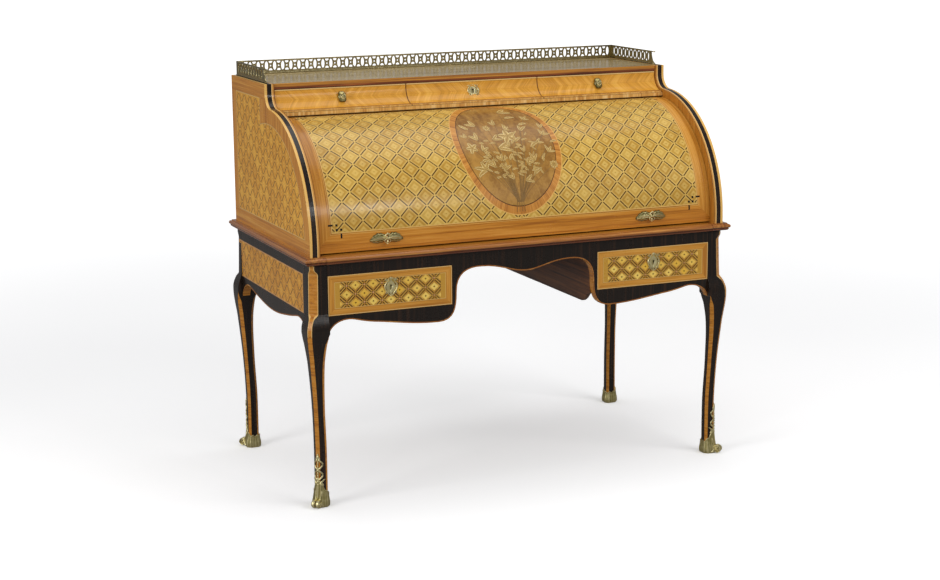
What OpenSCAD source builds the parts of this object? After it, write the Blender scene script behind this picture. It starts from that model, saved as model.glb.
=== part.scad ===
// A cylinder desk: a writing desk whose solid quarter-cylinder fall turns back inside the upper case.
// Origin on the floor under the middle of the desk, +X to the right, -Y to the front, +Z up.

/* [Overall] */
// Width over the writing-level moulding
desk_w = 1350; // [1200:5:1620]
// Depth over the writing-level moulding
desk_d = 737; // [610:1:885]
// Height of the writing surface
writing_h = 722; // [680:1:870]

/* [Lower case] */
// Overhang of the moulding at each side
side_overhang = 19; // [12:1:25]
// Overhang of the moulding at the front and back
front_overhang = 16.5; // [12:0.5:22]
// Thickness of the writing-level moulding
moulding_t = 22; // [18:1:28]
// Width of each corner post, on both faces
post_w = 49; // [40:1:60]
// Thickness of the aprons
apron_t = 22; // [16:1:28]
// Width of the open kneehole
kneehole_w = 436; // [360:4:560]
// Height of the rail above the lower drawers
top_rail_h = 33; // [24:1:44]
// Height of the two lower drawer fronts
drawer_h = 114.5; // [90:0.5:140]
// Depth of wood below the lower drawers at the apron's lowest point
lower_rail_h = 48; // [36:1:60]
// Thickness of the kneehole's side boards
kneehole_t = 13; // [10:1:18]
// Thickness of the dust boards
dust_t = 11; // [8:1:14]

/* [Legs] */
// How far the knee swells past the corner
knee_out = 15; // [8:1:18]
// Width of the ankle
ankle_w = 33; // [26:1:40]
// Height of the sabot's top at the outer corner of the leg
sabot_h = 132; // [100:1:150]
// Height of the sabot's top at the inner corner of the leg
sabot_back_h = 52; // [36:1:80]
// Thickness of the sabot's bronze around the leg
sabot_t = 2.6; // [1.8:0.2:4]
// Reach of the sabot's scrolled toe from the middle of the ankle
toe_reach = 44; // [36:1:46]

/* [Upper case] */
// Thickness of the two ends
end_t = 30; // [24:1:36]
// Set-back of the fall from the edge of the ends
fall_recess = 24; // [16:1:30]
// Thickness of the fall
fall_t = 22; // [16:1:26]
// Height of the fall's axis above the writing surface
axis_rise = 22; // [20:1:30]
// Height of the three frieze drawers
frieze_h = 62; // [50:1:80]
// Thickness of the shelf under the frieze drawers
frieze_shelf_t = 11.5; // [8:0.5:16]
// Height of the upright face above the hollow of the frieze
frieze_flat = 8.5; // [5:0.5:14]
// Width of the middle frieze drawer
middle_drawer_w = 432; // [360:4:520]
// Thickness of the top board
top_t = 18; // [14:1:26]
// Thickness of the back panel
back_t = 12; // [8:1:16]

/* [Gallery] */
// Height of the pierced gallery
gallery_h = 41; // [30:1:60]
// Distance from one oval of the gallery to the next
gallery_pitch = 26; // [20:1:34]
// Thickness of the gallery's brass
gallery_t = 3; // [2:0.5:5]
// Set-back of the gallery from the outer faces
gallery_in = 15; // [8:1:22]

/* [Pigeonholes] */
// Gap between the pigeonhole case and each arm of the fall
cabinet_side_gap = 16.5; // [10:0.5:60]
// Depth of the pigeonhole case
cabinet_d = 226; // [150:1:226]
// Gap between the top of the case and the inside of the turning fall
cabinet_clear = 21.5; // [12:0.5:60]
// Half width of the open bay in the middle of the case
bay_x = 200; // [120:5:300]
// Thickness of its boards
cabinet_t = 10; // [8:1:14]
// Height of the two small drawers
small_drawer_h = 55; // [40:1:70]

/* [Fit] */
// Gap beside a drawer, the slide and the fall
side_gap = 1; // [0.5:0.25:2]
// Gap above and below what slides
slide_gap = 0.5; // [0.3:0.1:1]
// Radial gap between the fall and the shelf over it
fall_gap = 1.5; // [1:0.5:4]
// Radius of the fall's pivot pins
pin_r = 5; // [4:0.5:6]
// Radial clearance of the pins in the arms
pin_clear = 0.06; // [0.02:0.01:0.1]

/* [Hidden] */

// Finishes
BLACKWOOD = "#2a211b";
TULIPWOOD = "#bd8434";
REDWOOD = "#94562b";
OAK = "#b48a58";
BRASS = "#b5a066";
IRON = "#4b4a48";
LEATHER = "#5b2a1c";

EPS = 1;                                  // how far a cutter runs past a face
case_x = desk_w / 2 - side_overhang;      // outer face of the aprons and ends
case_y = desk_d / 2 - front_overhang;     // front face of the aprons and ends
carcase_top = writing_h - moulding_t;
post_x = case_x - post_w;                 // inner faces of the corner posts
post_y = case_y - post_w;
apron_in_x = case_x - apron_t;            // inner faces of the aprons
apron_in_y = case_y - apron_t;
knee_x = kneehole_w / 2;

// Lower drawer openings
open_top = carcase_top - top_rail_h;
open_bottom = open_top - drawer_h;
open_in = knee_x + kneehole_t + side_gap;
apron_low = open_bottom - lower_rail_h;   // lowest line of the aprons
apron_arch = apron_low + 34;              // where the apron rises beside each knee
arch_top = carcase_top - 45;              // shoulders of the kneehole arch
arch_drop = carcase_top - 69;             // pendant in the middle of the arch
front_t = 20;                             // thickness of the lower drawer fronts
wall = 9;                                 // drawer sides and backs
bottom_t = 6;                             // drawer bottoms
lower_box_y = apron_in_y - 40;            // back of the lower drawer boxes
top_board_t = 12;                         // dust board under the writing slide

// Upper case, all worked out from the fall's axis
end_in = case_x - end_t;                  // inner faces of the ends
axis_y = 2;
axis_z = writing_h + axis_rise;
end_r = case_y + axis_y;                  // rounded outline of the ends
fall_r = end_r - fall_recess;
fall_in_r = fall_r - fall_t;
fall_rest = 3.58;                         // gap between the closed fall and the writing level
fall_low = -asin((axis_rise - fall_rest) / fall_r);  // angle of the fall's lower edge, up from level
fall_high = 97;                           // angle of its upper edge
shelf_bottom = axis_z + fall_r + fall_gap;
frieze_bottom = shelf_bottom + frieze_shelf_t;
frieze_top = frieze_bottom + frieze_h;
case_h = frieze_top + top_t;
shelf_nose_y = -26;                       // front edge of the shelf under the frieze
frieze_nose_y = -22;                      // front edge of the frieze drawers at the bottom
frieze_lip = 4.5;                         // upright lip below the hollow
hollow_r = frieze_h - frieze_lip - frieze_flat;
hollow_z = frieze_bottom + frieze_lip + hollow_r;
frieze_y = frieze_nose_y + hollow_r;      // upright face above the hollow
frieze_back = frieze_y + 23;              // back of the frieze drawer fronts
back_in_y = case_y - back_t;
frieze_box_y = back_in_y - 55;            // back of the frieze drawer boxes
frieze_set = 4;                           // how far the ends stand proud of the frieze
divider_t = 8;
joint_x = middle_drawer_w / 2;            // joints between the frieze drawers

// Writing slide
slide_half_w = post_x + 6.5 - side_gap;
moulding_back_y = case_y - 52;            // front edge of the back moulding
slide_back = moulding_back_y - 50;
slide_z = carcase_top + 0.2;
slide_top = writing_h - slide_gap;
leather_t = 1.5;
leather_half_w = slide_half_w - 52.5;
leather_front = desk_d / 2 - 58.5;

// Pigeonholes
floor_t = 10;
floor_front = -50;
cabinet_y = -45;
cabinet_z = writing_h + floor_t;
partition_t = 8;
bay_z = cabinet_z + cabinet_t + small_drawer_h + 2 * slide_gap;

// Fall arms
arm_t = 6;
arm_in = end_in - 14.5;                   // inner face of each arm
cabinet_half_w = arm_in - cabinet_side_gap;
cabinet_corner = cabinet_y + cabinet_d - axis_y;
cabinet_h = axis_z - cabinet_z + sqrt(pow(fall_in_r - cabinet_clear, 2) - pow(cabinet_corner, 2));
pin_hole = 14;                            // depth of the pin's hole in the end
boss_r = 11;
rim_w = 18;

// Points of a cubic curve from a to d
function curve(a, b, c, d, n = 8) = [for (i = [0:n]) let (t = i / n, s = 1 - t)
    s * s * s * a + 3 * s * s * t * b + 3 * s * t * t * c + t * t * t * d];
// Points of an arc
function arc(x, y, r, from, to, n = 12) = [for (i = [0:n]) let (a = from + (to - from) * i / n)
    [x + r * cos(a), y + r * sin(a)]];
// Value at x of a smooth line through knots [x, value], with x rising
function slope(k, i) = i == 0 || i == len(k) - 1 ? 0 :
    (k[i + 1][1] - k[i - 1][1]) / (k[i + 1][0] - k[i - 1][0]);
function span(k, x, i = 0) = i >= len(k) - 2 || x <= k[i + 1][0] ? i : span(k, x, i + 1);
function smooth(k, x) = let (i = span(k, x), h = k[i + 1][0] - k[i][0],
        t = min(1, max(0, (x - k[i][0]) / h)))
    k[i][1] * (1 + 2 * t) * (1 - t) * (1 - t) + slope(k, i) * h * t * (1 - t) * (1 - t)
    + k[i + 1][1] * t * t * (3 - 2 * t) + slope(k, i + 1) * h * t * t * (t - 1);

// A solid through rings of points, lowest first, each ring anticlockwise from above
module loft(rings) {
    m = len(rings[0]);
    n = len(rings);
    polyhedron(
        points = [for (r = rings) each r],
        faces = concat(
            [[for (j = [0:m - 1]) j]],
            [[for (j = [m - 1:-1:0]) (n - 1) * m + j]],
            [for (k = [0:n - 2], j = [0:m - 1])
                [k * m + j, (k + 1) * m + j, (k + 1) * m + (j + 1) % m, k * m + (j + 1) % m]]
        ));
}
// A box between two corners
module box(a, b) translate(a) cube(b - a);
// Right-hand or left-hand copy, front or back copy
module side(s) mirror([s < 0 ? 1 : 0, 0, 0]) children();
module end_of(s) mirror([0, s < 0 ? 1 : 0, 0]) children();
// An outline drawn in x and z, given a thickness from y0 to y1
module upright(y0, y1) translate([0, y1, 0]) rotate([90, 0, 0]) linear_extrude(y1 - y0) children();
// An outline drawn in y and z, given a thickness from x0 to x1
module sideways(x0, x1) translate([x0, 0, 0]) rotate([90, 0, 90]) linear_extrude(x1 - x0) children();

// ---- Legs and sabots -------------------------------------------------------
ankle_in = 24.5;                          // middle of the ankle, in from both corner faces
knee_z = apron_low + 10;
sole_t = 8;                               // bronze under the end of the leg
leg_out = [[sole_t, ankle_w / 2 - ankle_in], [170, ankle_w / 2 - ankle_in], [300, -3],
    [knee_z - 100, 6], [knee_z, knee_out], [knee_z + 60, 0], [carcase_top, 0]];
leg_in = [[sole_t, ankle_w / 2 + ankle_in], [170, ankle_w / 2 + ankle_in], [290, 37],
    [knee_z - 98, 37], [apron_low - 6, post_w - 3], [apron_low, post_w], [carcase_top, post_w]];
leg_chamfer = [[sole_t, 9], [300, 9], [knee_z, 10], [open_bottom - 6, 11], [open_bottom + 8, 21],
    [open_top + 4, 21], [carcase_top - 13, 10.5], [carcase_top, 10.5]];
leg_banding = [[sole_t, 7], [300, 8], [apron_low - 34, 8.5], [apron_low - 6, 1.5], [carcase_top, 1.5]];

// Ring of one leg at height z: square, with a broad chamfer on its outer corner and a
// lesser one on the three others, which stop below the aprons
function leg_ring(z) = let (
    swell = smooth(leg_out, z), o = -(z > knee_z ? max(0, swell) : swell),
    i = min(post_w, smooth(leg_in, z)), c = smooth(leg_chamfer, z), e = smooth(leg_banding, z))
    [for (p = [[o + c, o], [i - e, o], [i, o + e], [i, i - e],
               [i - e, i], [o + e, i], [o, i - e], [o, o + c]]) [case_x - p[0], case_y - p[1], z]];
// Levels of the leg's rings, closest together round the knee and the stop of the chamfer
leg_levels = concat(
    [for (z = [sole_t:16:apron_low - 44]) z],
    [for (z = [apron_low - 34:7:apron_low - 13]) z],
    [for (z = [apron_low - 6:6:open_bottom - 12]) z],
    [for (z = [open_bottom - 6:2.8:open_bottom + 8]) z],
    [for (z = [open_top + 4:2.5:carcase_top - 13]) z],
    [carcase_top]);

module leg() color(BLACKWOOD) loft([for (z = leg_levels) leg_ring(z)]);

// The sabot follows the leg, then swells and steps outwards below: [height, growth, outward step]
sabot_rings = [[0, 1.3, 4], [5, 1.42, 5], [14, 1.4, 4.5], [30, 1.27, 2], [52, 1.2, 0],
    [sabot_h + 30, 1 + 2 * sabot_t / ankle_w, 0]];
scroll_r = 12;
// A point of the leg's ring, moved away from the middle of the ankle
function grown(p, r) = let (m = [case_x - ankle_in, case_y - ankle_in])
    [m[0] + (p[0] - m[0]) * r[1] + r[2], m[1] + (p[1] - m[1]) * r[1] + r[2], r[0]];
module at_ankle() translate([case_x - ankle_in, case_y - ankle_in, 0]) rotate([0, 0, 45]) children();
module sabot() color(BRASS) {
    half = ankle_w * 0.7;                 // from the middle of the ankle to its corners
    rise = atan((sabot_h - sabot_back_h) / (2 * half));
    difference() {
        loft([for (r = sabot_rings) [for (p = leg_ring(min(150, max(sole_t, r[0])))) grown(p, r)]]);
        leg();
        at_ankle() translate([-half, -desk_w, sabot_back_h]) rotate([0, -rise, 0])
            translate([-desk_w, 0, 0]) cube([2 * desk_w, 2 * desk_w, desk_w]);
    }
    at_ankle() for (s = [-1, 1]) translate([toe_reach - scroll_r, s * 7 - 5, scroll_r]) rotate([-90, 0, 0])
        cylinder(r = scroll_r, h = 10, $fn = 48);
}

// ---- Aprons and carcase ----------------------------------------------------
apron_mid = (knee_x + post_x) / 2;
// Lower edge of the front apron's right half, from the middle of the kneehole to the post
function front_edge() = concat(
    curve([0, arch_drop], [45, arch_drop], [80, arch_top], [knee_x - 78, arch_top]),
    curve([knee_x - 78, arch_top], [knee_x - 33, arch_top + 2],
        [knee_x, arch_top - 15], [knee_x, arch_top - 65]),
    curve([knee_x, arch_top - 65], [knee_x, apron_low + 35],
        [knee_x + 8, apron_low], [knee_x + 57, apron_low]),
    curve([knee_x + 57, apron_low], [apron_mid - 60, apron_low], [apron_mid, apron_low + 14],
        [post_x - 137, apron_low + 20]),
    curve([post_x - 137, apron_low + 20], [post_x - 87, apron_low + 27], [post_x - 77, apron_arch + 2],
        [post_x - 55, apron_arch]),
    curve([post_x - 55, apron_arch], [post_x - 27, apron_arch - 2], [post_x - 7, apron_low + 17],
        [post_x, apron_low - 5]));
// Lower edge of half a side apron, from its middle to the post
function side_edge(reach) = concat(
    curve([0, apron_low], [reach * 0.2, apron_low],
        [reach * 0.33, apron_low + 8], [reach * 0.5, apron_low + 15]),
    curve([reach * 0.5, apron_low + 15], [reach * 0.66, apron_low + 22],
        [reach - 78, apron_arch - 3], [reach - 58, apron_arch - 5]),
    curve([reach - 58, apron_arch - 5], [reach - 28, apron_arch - 8], [reach - 8, apron_low + 7],
        [reach, apron_low - 15]));
function reversed(l) = [for (i = [len(l) - 1:-1:0]) l[i]];
function both_halves(edge) = concat(
    reversed([for (p = edge) [-p[0], p[1]]]),
    [for (i = [1:len(edge) - 1]) edge[i]]);
function apron_outline(edge, reach) = concat(
    both_halves(edge), [[reach, carcase_top], [-reach, carcase_top]]);

module front_apron() color(BLACKWOOD) upright(-case_y, -apron_in_y) difference() {
    polygon(apron_outline(front_edge(), post_x));
    for (s = [-1, 1]) scale([s, 1]) translate([open_in, open_bottom])
        square([post_x - open_in + EPS, drawer_h]);
}
module back_apron() color(BLACKWOOD) upright(apron_in_y, case_y)
    polygon(apron_outline(side_edge(post_x), post_x));
module side_apron() color(BLACKWOOD) sideways(apron_in_x, case_x)
    polygon(apron_outline(side_edge(post_y), post_y));
module kneehole_side() color(TULIPWOOD)
    box([knee_x, -apron_in_y, apron_low + 4], [knee_x + kneehole_t, apron_in_y, carcase_top - top_board_t]);

// Dust boards under the lower drawers, with a guide along each outer side
guide_x = post_x - 2;                     // inner face of each guide
guide_h = 46;
module drawer_runners() color(OAK) for (s = [-1, 1]) side(s) {
    box([knee_x + kneehole_t, -apron_in_y, open_bottom - slide_gap - dust_t],
        [guide_x, apron_in_y, open_bottom - slide_gap]);
    box([guide_x, -post_y, open_bottom - slide_gap - dust_t],
        [apron_in_x, post_y, open_bottom + guide_h]);
}
module carcase_top_board() color(OAK) difference() {
    box([-apron_in_x, -apron_in_y, carcase_top - top_board_t], [apron_in_x, apron_in_y, carcase_top]);
    for (s = [-1, 1], e = [-1, 1]) side(s) end_of(e)
        box([post_x, post_y, carcase_top - top_board_t - EPS], [case_x, case_y, carcase_top + EPS]);
}

// ---- Writing-level moulding and slide --------------------------------------
bead_r = 6;
bead_drop = 3;                            // from the top surface down to the bead
cove_in = 10;                             // how far the lower edge stands behind the bead
// Section of the moulded edge, with u measured back from the outermost line
function nose(z0, z1) = let (bead_z = z1 - bead_drop - bead_r, cove_z = bead_z - bead_r - 1) concat(
    [[-cove_in, z0]], arc(-cove_in, cove_z, cove_z - z0, -90, 0, 5), [[-bead_r, bead_z - bead_r]],
    arc(-bead_r, bead_z, bead_r, -90, 90, 10), [[-bead_r - 1.5, z1 - bead_drop], [-bead_r - 1.5, z1]]);
module nosed_slab(z0, z1) {
    module run(half, length) upright(-length, length)
        polygon(both_halves(concat([[0, z0]], [for (q = nose(z0, z1)) [half + q[0], q[1]]], [[0, z1]])));
    intersection() {
        run(desk_w / 2, desk_d);
        rotate([0, 0, 90]) run(desk_d / 2, desk_w);
    }
}
module top_moulding() color(REDWOOD) intersection() {
    nosed_slab(carcase_top, writing_h);
    box([slide_half_w + side_gap, -desk_d, 0], [desk_w, desk_d, writing_h + EPS]);
}
module top_moulding_back() color(REDWOOD) intersection() {
    nosed_slab(carcase_top, writing_h);
    box([-slide_half_w - side_gap, moulding_back_y, 0], [slide_half_w + side_gap, desk_d, writing_h + EPS]);
}
module leather_shape(z0, z1) box([-leather_half_w, -leather_front, z0], [leather_half_w, 0, z1]);
module writing_slide() color(REDWOOD) difference() {
    intersection() {
        nosed_slab(slide_z, slide_top);
        box([-slide_half_w, -desk_d, 0], [slide_half_w, slide_back, writing_h]);
    }
    leather_shape(slide_top - leather_t, slide_top + EPS);
}
module writing_leather() color(LEATHER) leather_shape(slide_top - leather_t, slide_top);

// ---- Upper case ------------------------------------------------------------
end_hollow_r = hollow_r - frieze_set;
end_hollow_z = axis_z + sqrt(end_r * end_r - pow(axis_y - frieze_nose_y, 2)) + end_hollow_r;
function end_outline() = concat(
    [[case_y, writing_h], [-case_y, writing_h]],
    arc(axis_y, axis_z, end_r, 180, 180 - acos((axis_y - frieze_nose_y) / end_r), 40),
    arc(frieze_nose_y, end_hollow_z, end_hollow_r, -84, 0, 10),
    [[frieze_nose_y + end_hollow_r, case_h], [case_y, case_h]]);
module end_board() color(TULIPWOOD) difference() {
    sideways(end_in, case_x) polygon(end_outline());
    translate([end_in - EPS, axis_y, axis_z]) rotate([0, 90, 0])
        cylinder(r = pin_r, h = pin_hole + EPS, $fn = 64);
}
module back_panel() color(OAK) box([-end_in, back_in_y, writing_h], [end_in, case_y, frieze_top]);
module cabinet_floor() color(OAK)
    box([-end_in, floor_front, writing_h], [end_in, back_in_y, writing_h + floor_t]);
module frieze_shelf() color(OAK)
    box([-end_in, shelf_nose_y, shelf_bottom], [end_in, back_in_y, frieze_bottom]);
module frieze_dividers() color(OAK) for (s = [-1, 1]) side(s)
    box([joint_x - divider_t / 2, frieze_back + 1, frieze_bottom],
        [joint_x + divider_t / 2, back_in_y, frieze_top]);
module top_board() color(TULIPWOOD) box([-end_in, frieze_y, frieze_top], [end_in, case_y, case_h]);

// ---- Pierced gallery -------------------------------------------------------
gallery_base = 8;
gallery_rail = 3;
gallery_x = case_x - gallery_in;
gallery_y = case_y - gallery_in / 2;
gallery_front = frieze_y + 25;
gallery_sweep = 22;                       // length of the hollow that ends each side
function oval(x, z, a, b, n = 16) =
    [for (i = [0:n - 1]) let (t = 360 * i / n) [x + a * cos(t), z + b * sin(t)]];
module oval_opening(x) polygon(oval(x, (gallery_base + gallery_h - gallery_rail) / 2,
    gallery_pitch * 0.21, (gallery_h - gallery_rail - gallery_base) / 2 - 1.5));
// One unit: an oval opening, and beside it a small eye between two arched openings
module piercing(x) {
    mid = (gallery_base + gallery_h - gallery_rail) / 2;
    high = (gallery_h - gallery_rail - gallery_base) / 2;
    oval_opening(x);
    polygon(oval(x + gallery_pitch / 2, mid, 2.6, 2.6, 10));
    for (s = [-1, 1]) polygon([for (p = arc(0, 0, 1, 0, 180, 8))
        [x + gallery_pitch / 2 + gallery_pitch * 0.24 * p[0], mid + s * (high - 1 - high * 0.42 * p[1])]]);
}
module gallery_run(length) difference() {
    square([length, gallery_h]);
    count = floor((length - gallery_pitch) / gallery_pitch);
    start = (length - count * gallery_pitch) / 2;
    for (i = [0:count - 1]) piercing(start + i * gallery_pitch);
    oval_opening(start + count * gallery_pitch);
}
module gallery_back() color(BRASS) translate([-gallery_x, 0, case_h])
    upright(gallery_y, gallery_y + gallery_t) gallery_run(2 * gallery_x);
module gallery_side() color(BRASS) translate([gallery_x - gallery_t, 0, case_h]) rotate([90, 0, 90])
    linear_extrude(gallery_t) {
        run_y = gallery_front + gallery_sweep;
        translate([run_y, 0]) gallery_run(gallery_y - run_y);
        polygon(concat([[run_y + EPS, gallery_h], [run_y + EPS, 0], [gallery_front, 0]],
            curve([gallery_front, gallery_base * 0.6], [gallery_front + gallery_sweep * 0.6, gallery_base],
                [gallery_front + gallery_sweep * 0.9, gallery_h * 0.5], [run_y, gallery_h])));
    }

// ---- Pigeonholes and small drawers -----------------------------------------
module pigeonhole_case() color(OAK) difference() {
    box([-cabinet_half_w, cabinet_y, cabinet_z],
        [cabinet_half_w, cabinet_y + cabinet_d, cabinet_z + cabinet_h]);
    box([-cabinet_half_w + cabinet_t, cabinet_y - EPS, cabinet_z + cabinet_t],
        [cabinet_half_w - cabinet_t, cabinet_y + cabinet_d - cabinet_t, cabinet_z + cabinet_h - cabinet_t]);
}
cabinet_back = cabinet_y + cabinet_d - cabinet_t;
hole_pitch = (cabinet_half_w - cabinet_t - bay_x) / 3;
module pigeonhole_partitions() color(OAK) for (s = [-1, 1]) side(s) {
    box([bay_x - partition_t, cabinet_y + 2, cabinet_z + cabinet_t],
        [bay_x, cabinet_back, cabinet_z + cabinet_h - cabinet_t]);
    box([bay_x, cabinet_y + 2, bay_z], [cabinet_half_w - cabinet_t, cabinet_back, bay_z + partition_t]);
    for (i = [1, 2]) box([bay_x + i * hole_pitch - partition_t / 2, cabinet_y + 2, bay_z + partition_t],
        [bay_x + i * hole_pitch + partition_t / 2, cabinet_back, cabinet_z + cabinet_h - cabinet_t]);
}
small_wall = 7;
small_bottom_t = 5;
small_front_t = 10;
small_z = cabinet_z + cabinet_t + slide_gap;
small_x0 = bay_x + side_gap;
small_x1 = cabinet_half_w - cabinet_t - side_gap;
module small_drawer() color(TULIPWOOD) difference() {
    box([small_x0, cabinet_y, small_z], [small_x1, cabinet_back - 5, small_z + small_drawer_h]);
    box([small_x0 + small_wall, cabinet_y + small_front_t, small_z + small_bottom_t],
        [small_x1 - small_wall, cabinet_back - 5 - small_wall, small_z + small_drawer_h + EPS]);
}
small_knob_profile = [[0, 0], [5, 0], [5, 1.5], [2.5, 3], [2.5, 6], [6, 8], [6.5, 11], [4, 14], [0, 14.5]];
module small_knob() color(BRASS)
    translate([(small_x0 + small_x1) / 2, cabinet_y, small_z + small_drawer_h / 2]) rotate([90, 0, 0])
        rotate_extrude($fn = 48) polygon(small_knob_profile);

// ---- The fall --------------------------------------------------------------
// A ring sector about the fall's axis, from one angle above level to another
module sector(r0, r1, a0, a1) intersection() {
    difference() {
        circle(r = r1, $fn = 200);
        circle(r = r0, $fn = 200);
    }
    polygon(concat([[0, 0]], arc(0, 0, 1.5 * r1, 180 - a0, 180 - a1, 4)));
}
// An outline drawn about the fall's axis, given a thickness from x0 to x1
module about_axis(x0, x1) translate([0, axis_y, axis_z]) sideways(x0, x1) children();
module fall_panel() color(TULIPWOOD) about_axis(-end_in + side_gap, end_in - side_gap)
    sector(fall_in_r, fall_r, fall_low, fall_high);
spoke_w = 16;
spoke_angles = [12, 52, 90];              // up from level at the front
module fall_arm() color(IRON) about_axis(arm_in, arm_in + arm_t) difference() {
    union() {
        sector(fall_in_r - rim_w, fall_in_r, fall_low + 3, fall_high - 3);
        circle(r = boss_r, $fn = 64);
        for (a = spoke_angles) rotate(180 - a) translate([0, -spoke_w / 2])
            square([fall_in_r - rim_w / 2, spoke_w]);
    }
    circle(r = pin_r + pin_clear, $fn = 64);
}
// Pin with a collar that bears on the end
pin_collar = arm_t + 4;
pin_l = end_in - arm_in + 2 + pin_hole;
module pivot_pins() color(IRON) for (s = [-1, 1]) side(s)
    translate([arm_in - 2, axis_y, axis_z]) rotate([0, 90, 0]) rotate_extrude($fn = 64)
        polygon([[0, 0], [pin_r, 0], [pin_r, pin_collar], [boss_r, pin_collar],
            [boss_r, pin_l - pin_hole], [pin_r, pin_l - pin_hole], [pin_r, pin_l], [0, pin_l]]);

// Lift handle: a leaf-shaped back plate with a lipped shell to catch the fingers
handle_x = (joint_x + end_in) / 2;
handle_z = writing_h + 33;
handle_w = 100;
handle_h = 34;
function handle_outline(w, h) = concat(
    curve([-w / 2, h * 0.1], [-w * 0.36, h * 0.62], [-w * 0.16, h * 0.3], [0, h * 0.5]),
    curve([0, h * 0.5], [w * 0.16, h * 0.3], [w * 0.36, h * 0.62], [w / 2, h * 0.1]),
    curve([w / 2, h * 0.1], [w * 0.3, -h * 0.5], [w * 0.1, -h * 0.5], [0, -h * 0.5]),
    curve([0, -h * 0.5], [-w * 0.1, -h * 0.5], [-w * 0.3, -h * 0.5], [-w / 2, h * 0.1]));
handle_plate = 7;                         // thickness of the leaves
handle_reach = 16;                        // how far the lip stands proud of the fall
module fall_handle() color(BRASS) translate([handle_x, axis_y, axis_z])
    rotate([-asin((handle_z - axis_z) / fall_r), 0, 0]) translate([0, -fall_r, 0]) {
        difference() {
            upright(-handle_plate, handle_plate) polygon(handle_outline(handle_w, handle_h));
            translate([-desk_w / 2, fall_r, 0]) rotate([0, 90, 0])
                cylinder(r = fall_r + 0.05, h = desk_w, $fn = 200);
        }
        upright(-handle_reach, -handle_plate) polygon(handle_outline(handle_w * 0.66, handle_h * 0.8));
    }

// ---- Lower drawers ---------------------------------------------------------
low_x0 = open_in + side_gap;
low_x1 = post_x - side_gap;
low_z0 = open_bottom + side_gap;
low_z1 = open_top - side_gap;
low_mid = (low_x0 + low_x1) / 2;
plate_z = (low_z0 + low_z1) / 2 + 12;
// A keyhole, drawn upright about its round part
key_r = 3.2;
key_slot_w = 2.8;
key_slot_l = 10;
module keyhole() {
    circle(r = key_r, $fn = 12);
    translate([-key_slot_w / 2, -key_slot_l]) square([key_slot_w, key_slot_l]);
}
// Shield-shaped key plate outline
function plate_outline(w, h) = concat(
    curve([0, h / 2], [w * 0.1, h * 0.36], [w * 0.5, h * 0.5], [w * 0.44, h * 0.18]),
    curve([w * 0.44, h * 0.18], [w * 0.6, -h * 0.05], [w * 0.42, -h * 0.42], [0, -h / 2]),
    curve([0, -h / 2], [-w * 0.42, -h * 0.42], [-w * 0.6, -h * 0.05], [-w * 0.44, h * 0.18]),
    curve([-w * 0.44, h * 0.18], [-w * 0.5, h * 0.5], [-w * 0.1, h * 0.36], [0, h / 2]));
module lower_drawer_front() color(TULIPWOOD) difference() {
    box([low_x0, -case_y, low_z0], [low_x1, -case_y + front_t, low_z1]);
    translate([low_mid, 0, plate_z]) upright(-case_y - EPS, -case_y + 12) keyhole();
}
low_box_x0 = low_x0 + 2;
low_box_x1 = guide_x - 3;
low_box_z0 = low_z0 + 1;
module lower_drawer_box() color(OAK) {
    y0 = -case_y + front_t;
    difference() {
        box([low_box_x0, y0, low_box_z0], [low_box_x1, lower_box_y, low_z1 - 8]);
        box([low_box_x0 + wall, y0 - EPS, low_box_z0 + bottom_t],
            [low_box_x1 - wall, lower_box_y - wall, low_z1]);
    }
}
lower_plate = [38, 54];
lower_plate_t = 4;
module lower_escutcheon() color(BRASS) translate([low_mid, 0, plate_z])
    upright(-case_y - lower_plate_t, -case_y) difference() {
        polygon(plate_outline(lower_plate[0], lower_plate[1]));
        keyhole();
    }
lock_size = [56, 10, 40];
module lower_lock() color(BRASS)
    translate([low_mid - lock_size[0] / 2, -case_y + front_t, plate_z + 18 - lock_size[2]]) cube(lock_size);

// ---- Frieze drawers --------------------------------------------------------
// Section of a frieze drawer front, hollow on its face
function frieze_section() = concat(
    [[frieze_back, frieze_bottom + slide_gap], [frieze_nose_y, frieze_bottom + slide_gap]],
    arc(frieze_nose_y, hollow_z, hollow_r, -90, 0, 12),
    [[frieze_y, frieze_top - slide_gap], [frieze_back, frieze_top - slide_gap]]);
module frieze_front(x0, x1) color(TULIPWOOD) sideways(x0, x1) polygon(frieze_section());
frieze_box_in = divider_t / 2 + side_gap; // how far each box stands in from its front's ends
frieze_box_h = frieze_h - 14;
module frieze_box(x0, x1) color(OAK) {
    z0 = frieze_bottom + slide_gap;
    difference() {
        box([x0 + frieze_box_in, frieze_back, z0], [x1 - frieze_box_in, frieze_box_y, z0 + frieze_box_h]);
        box([x0 + frieze_box_in + wall, frieze_back - EPS, z0 + bottom_t],
            [x1 - frieze_box_in - wall, frieze_box_y - wall, z0 + frieze_h]);
    }
}
outer_x0 = joint_x + side_gap / 2;
outer_x1 = end_in - side_gap;
middle_x1 = joint_x - side_gap / 2;
plate_t = 3.5;
mount_gap = 0.15;                         // between the hollow and what is fixed to it
knob_r = 5;
knob_reach = 9;
knob_oval = [11, 16];                     // half width and half height of the knob's back plate
frieze_plate = [36, 44];
plate_angle = -27;                        // where on the hollow the mounts sit
// From the middle of the hollow's curve straight out to where the mounts sit
module toward_hollow(x) translate([x, frieze_nose_y, hollow_z]) rotate([plate_angle - 90, 0, 0]) children();
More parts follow.
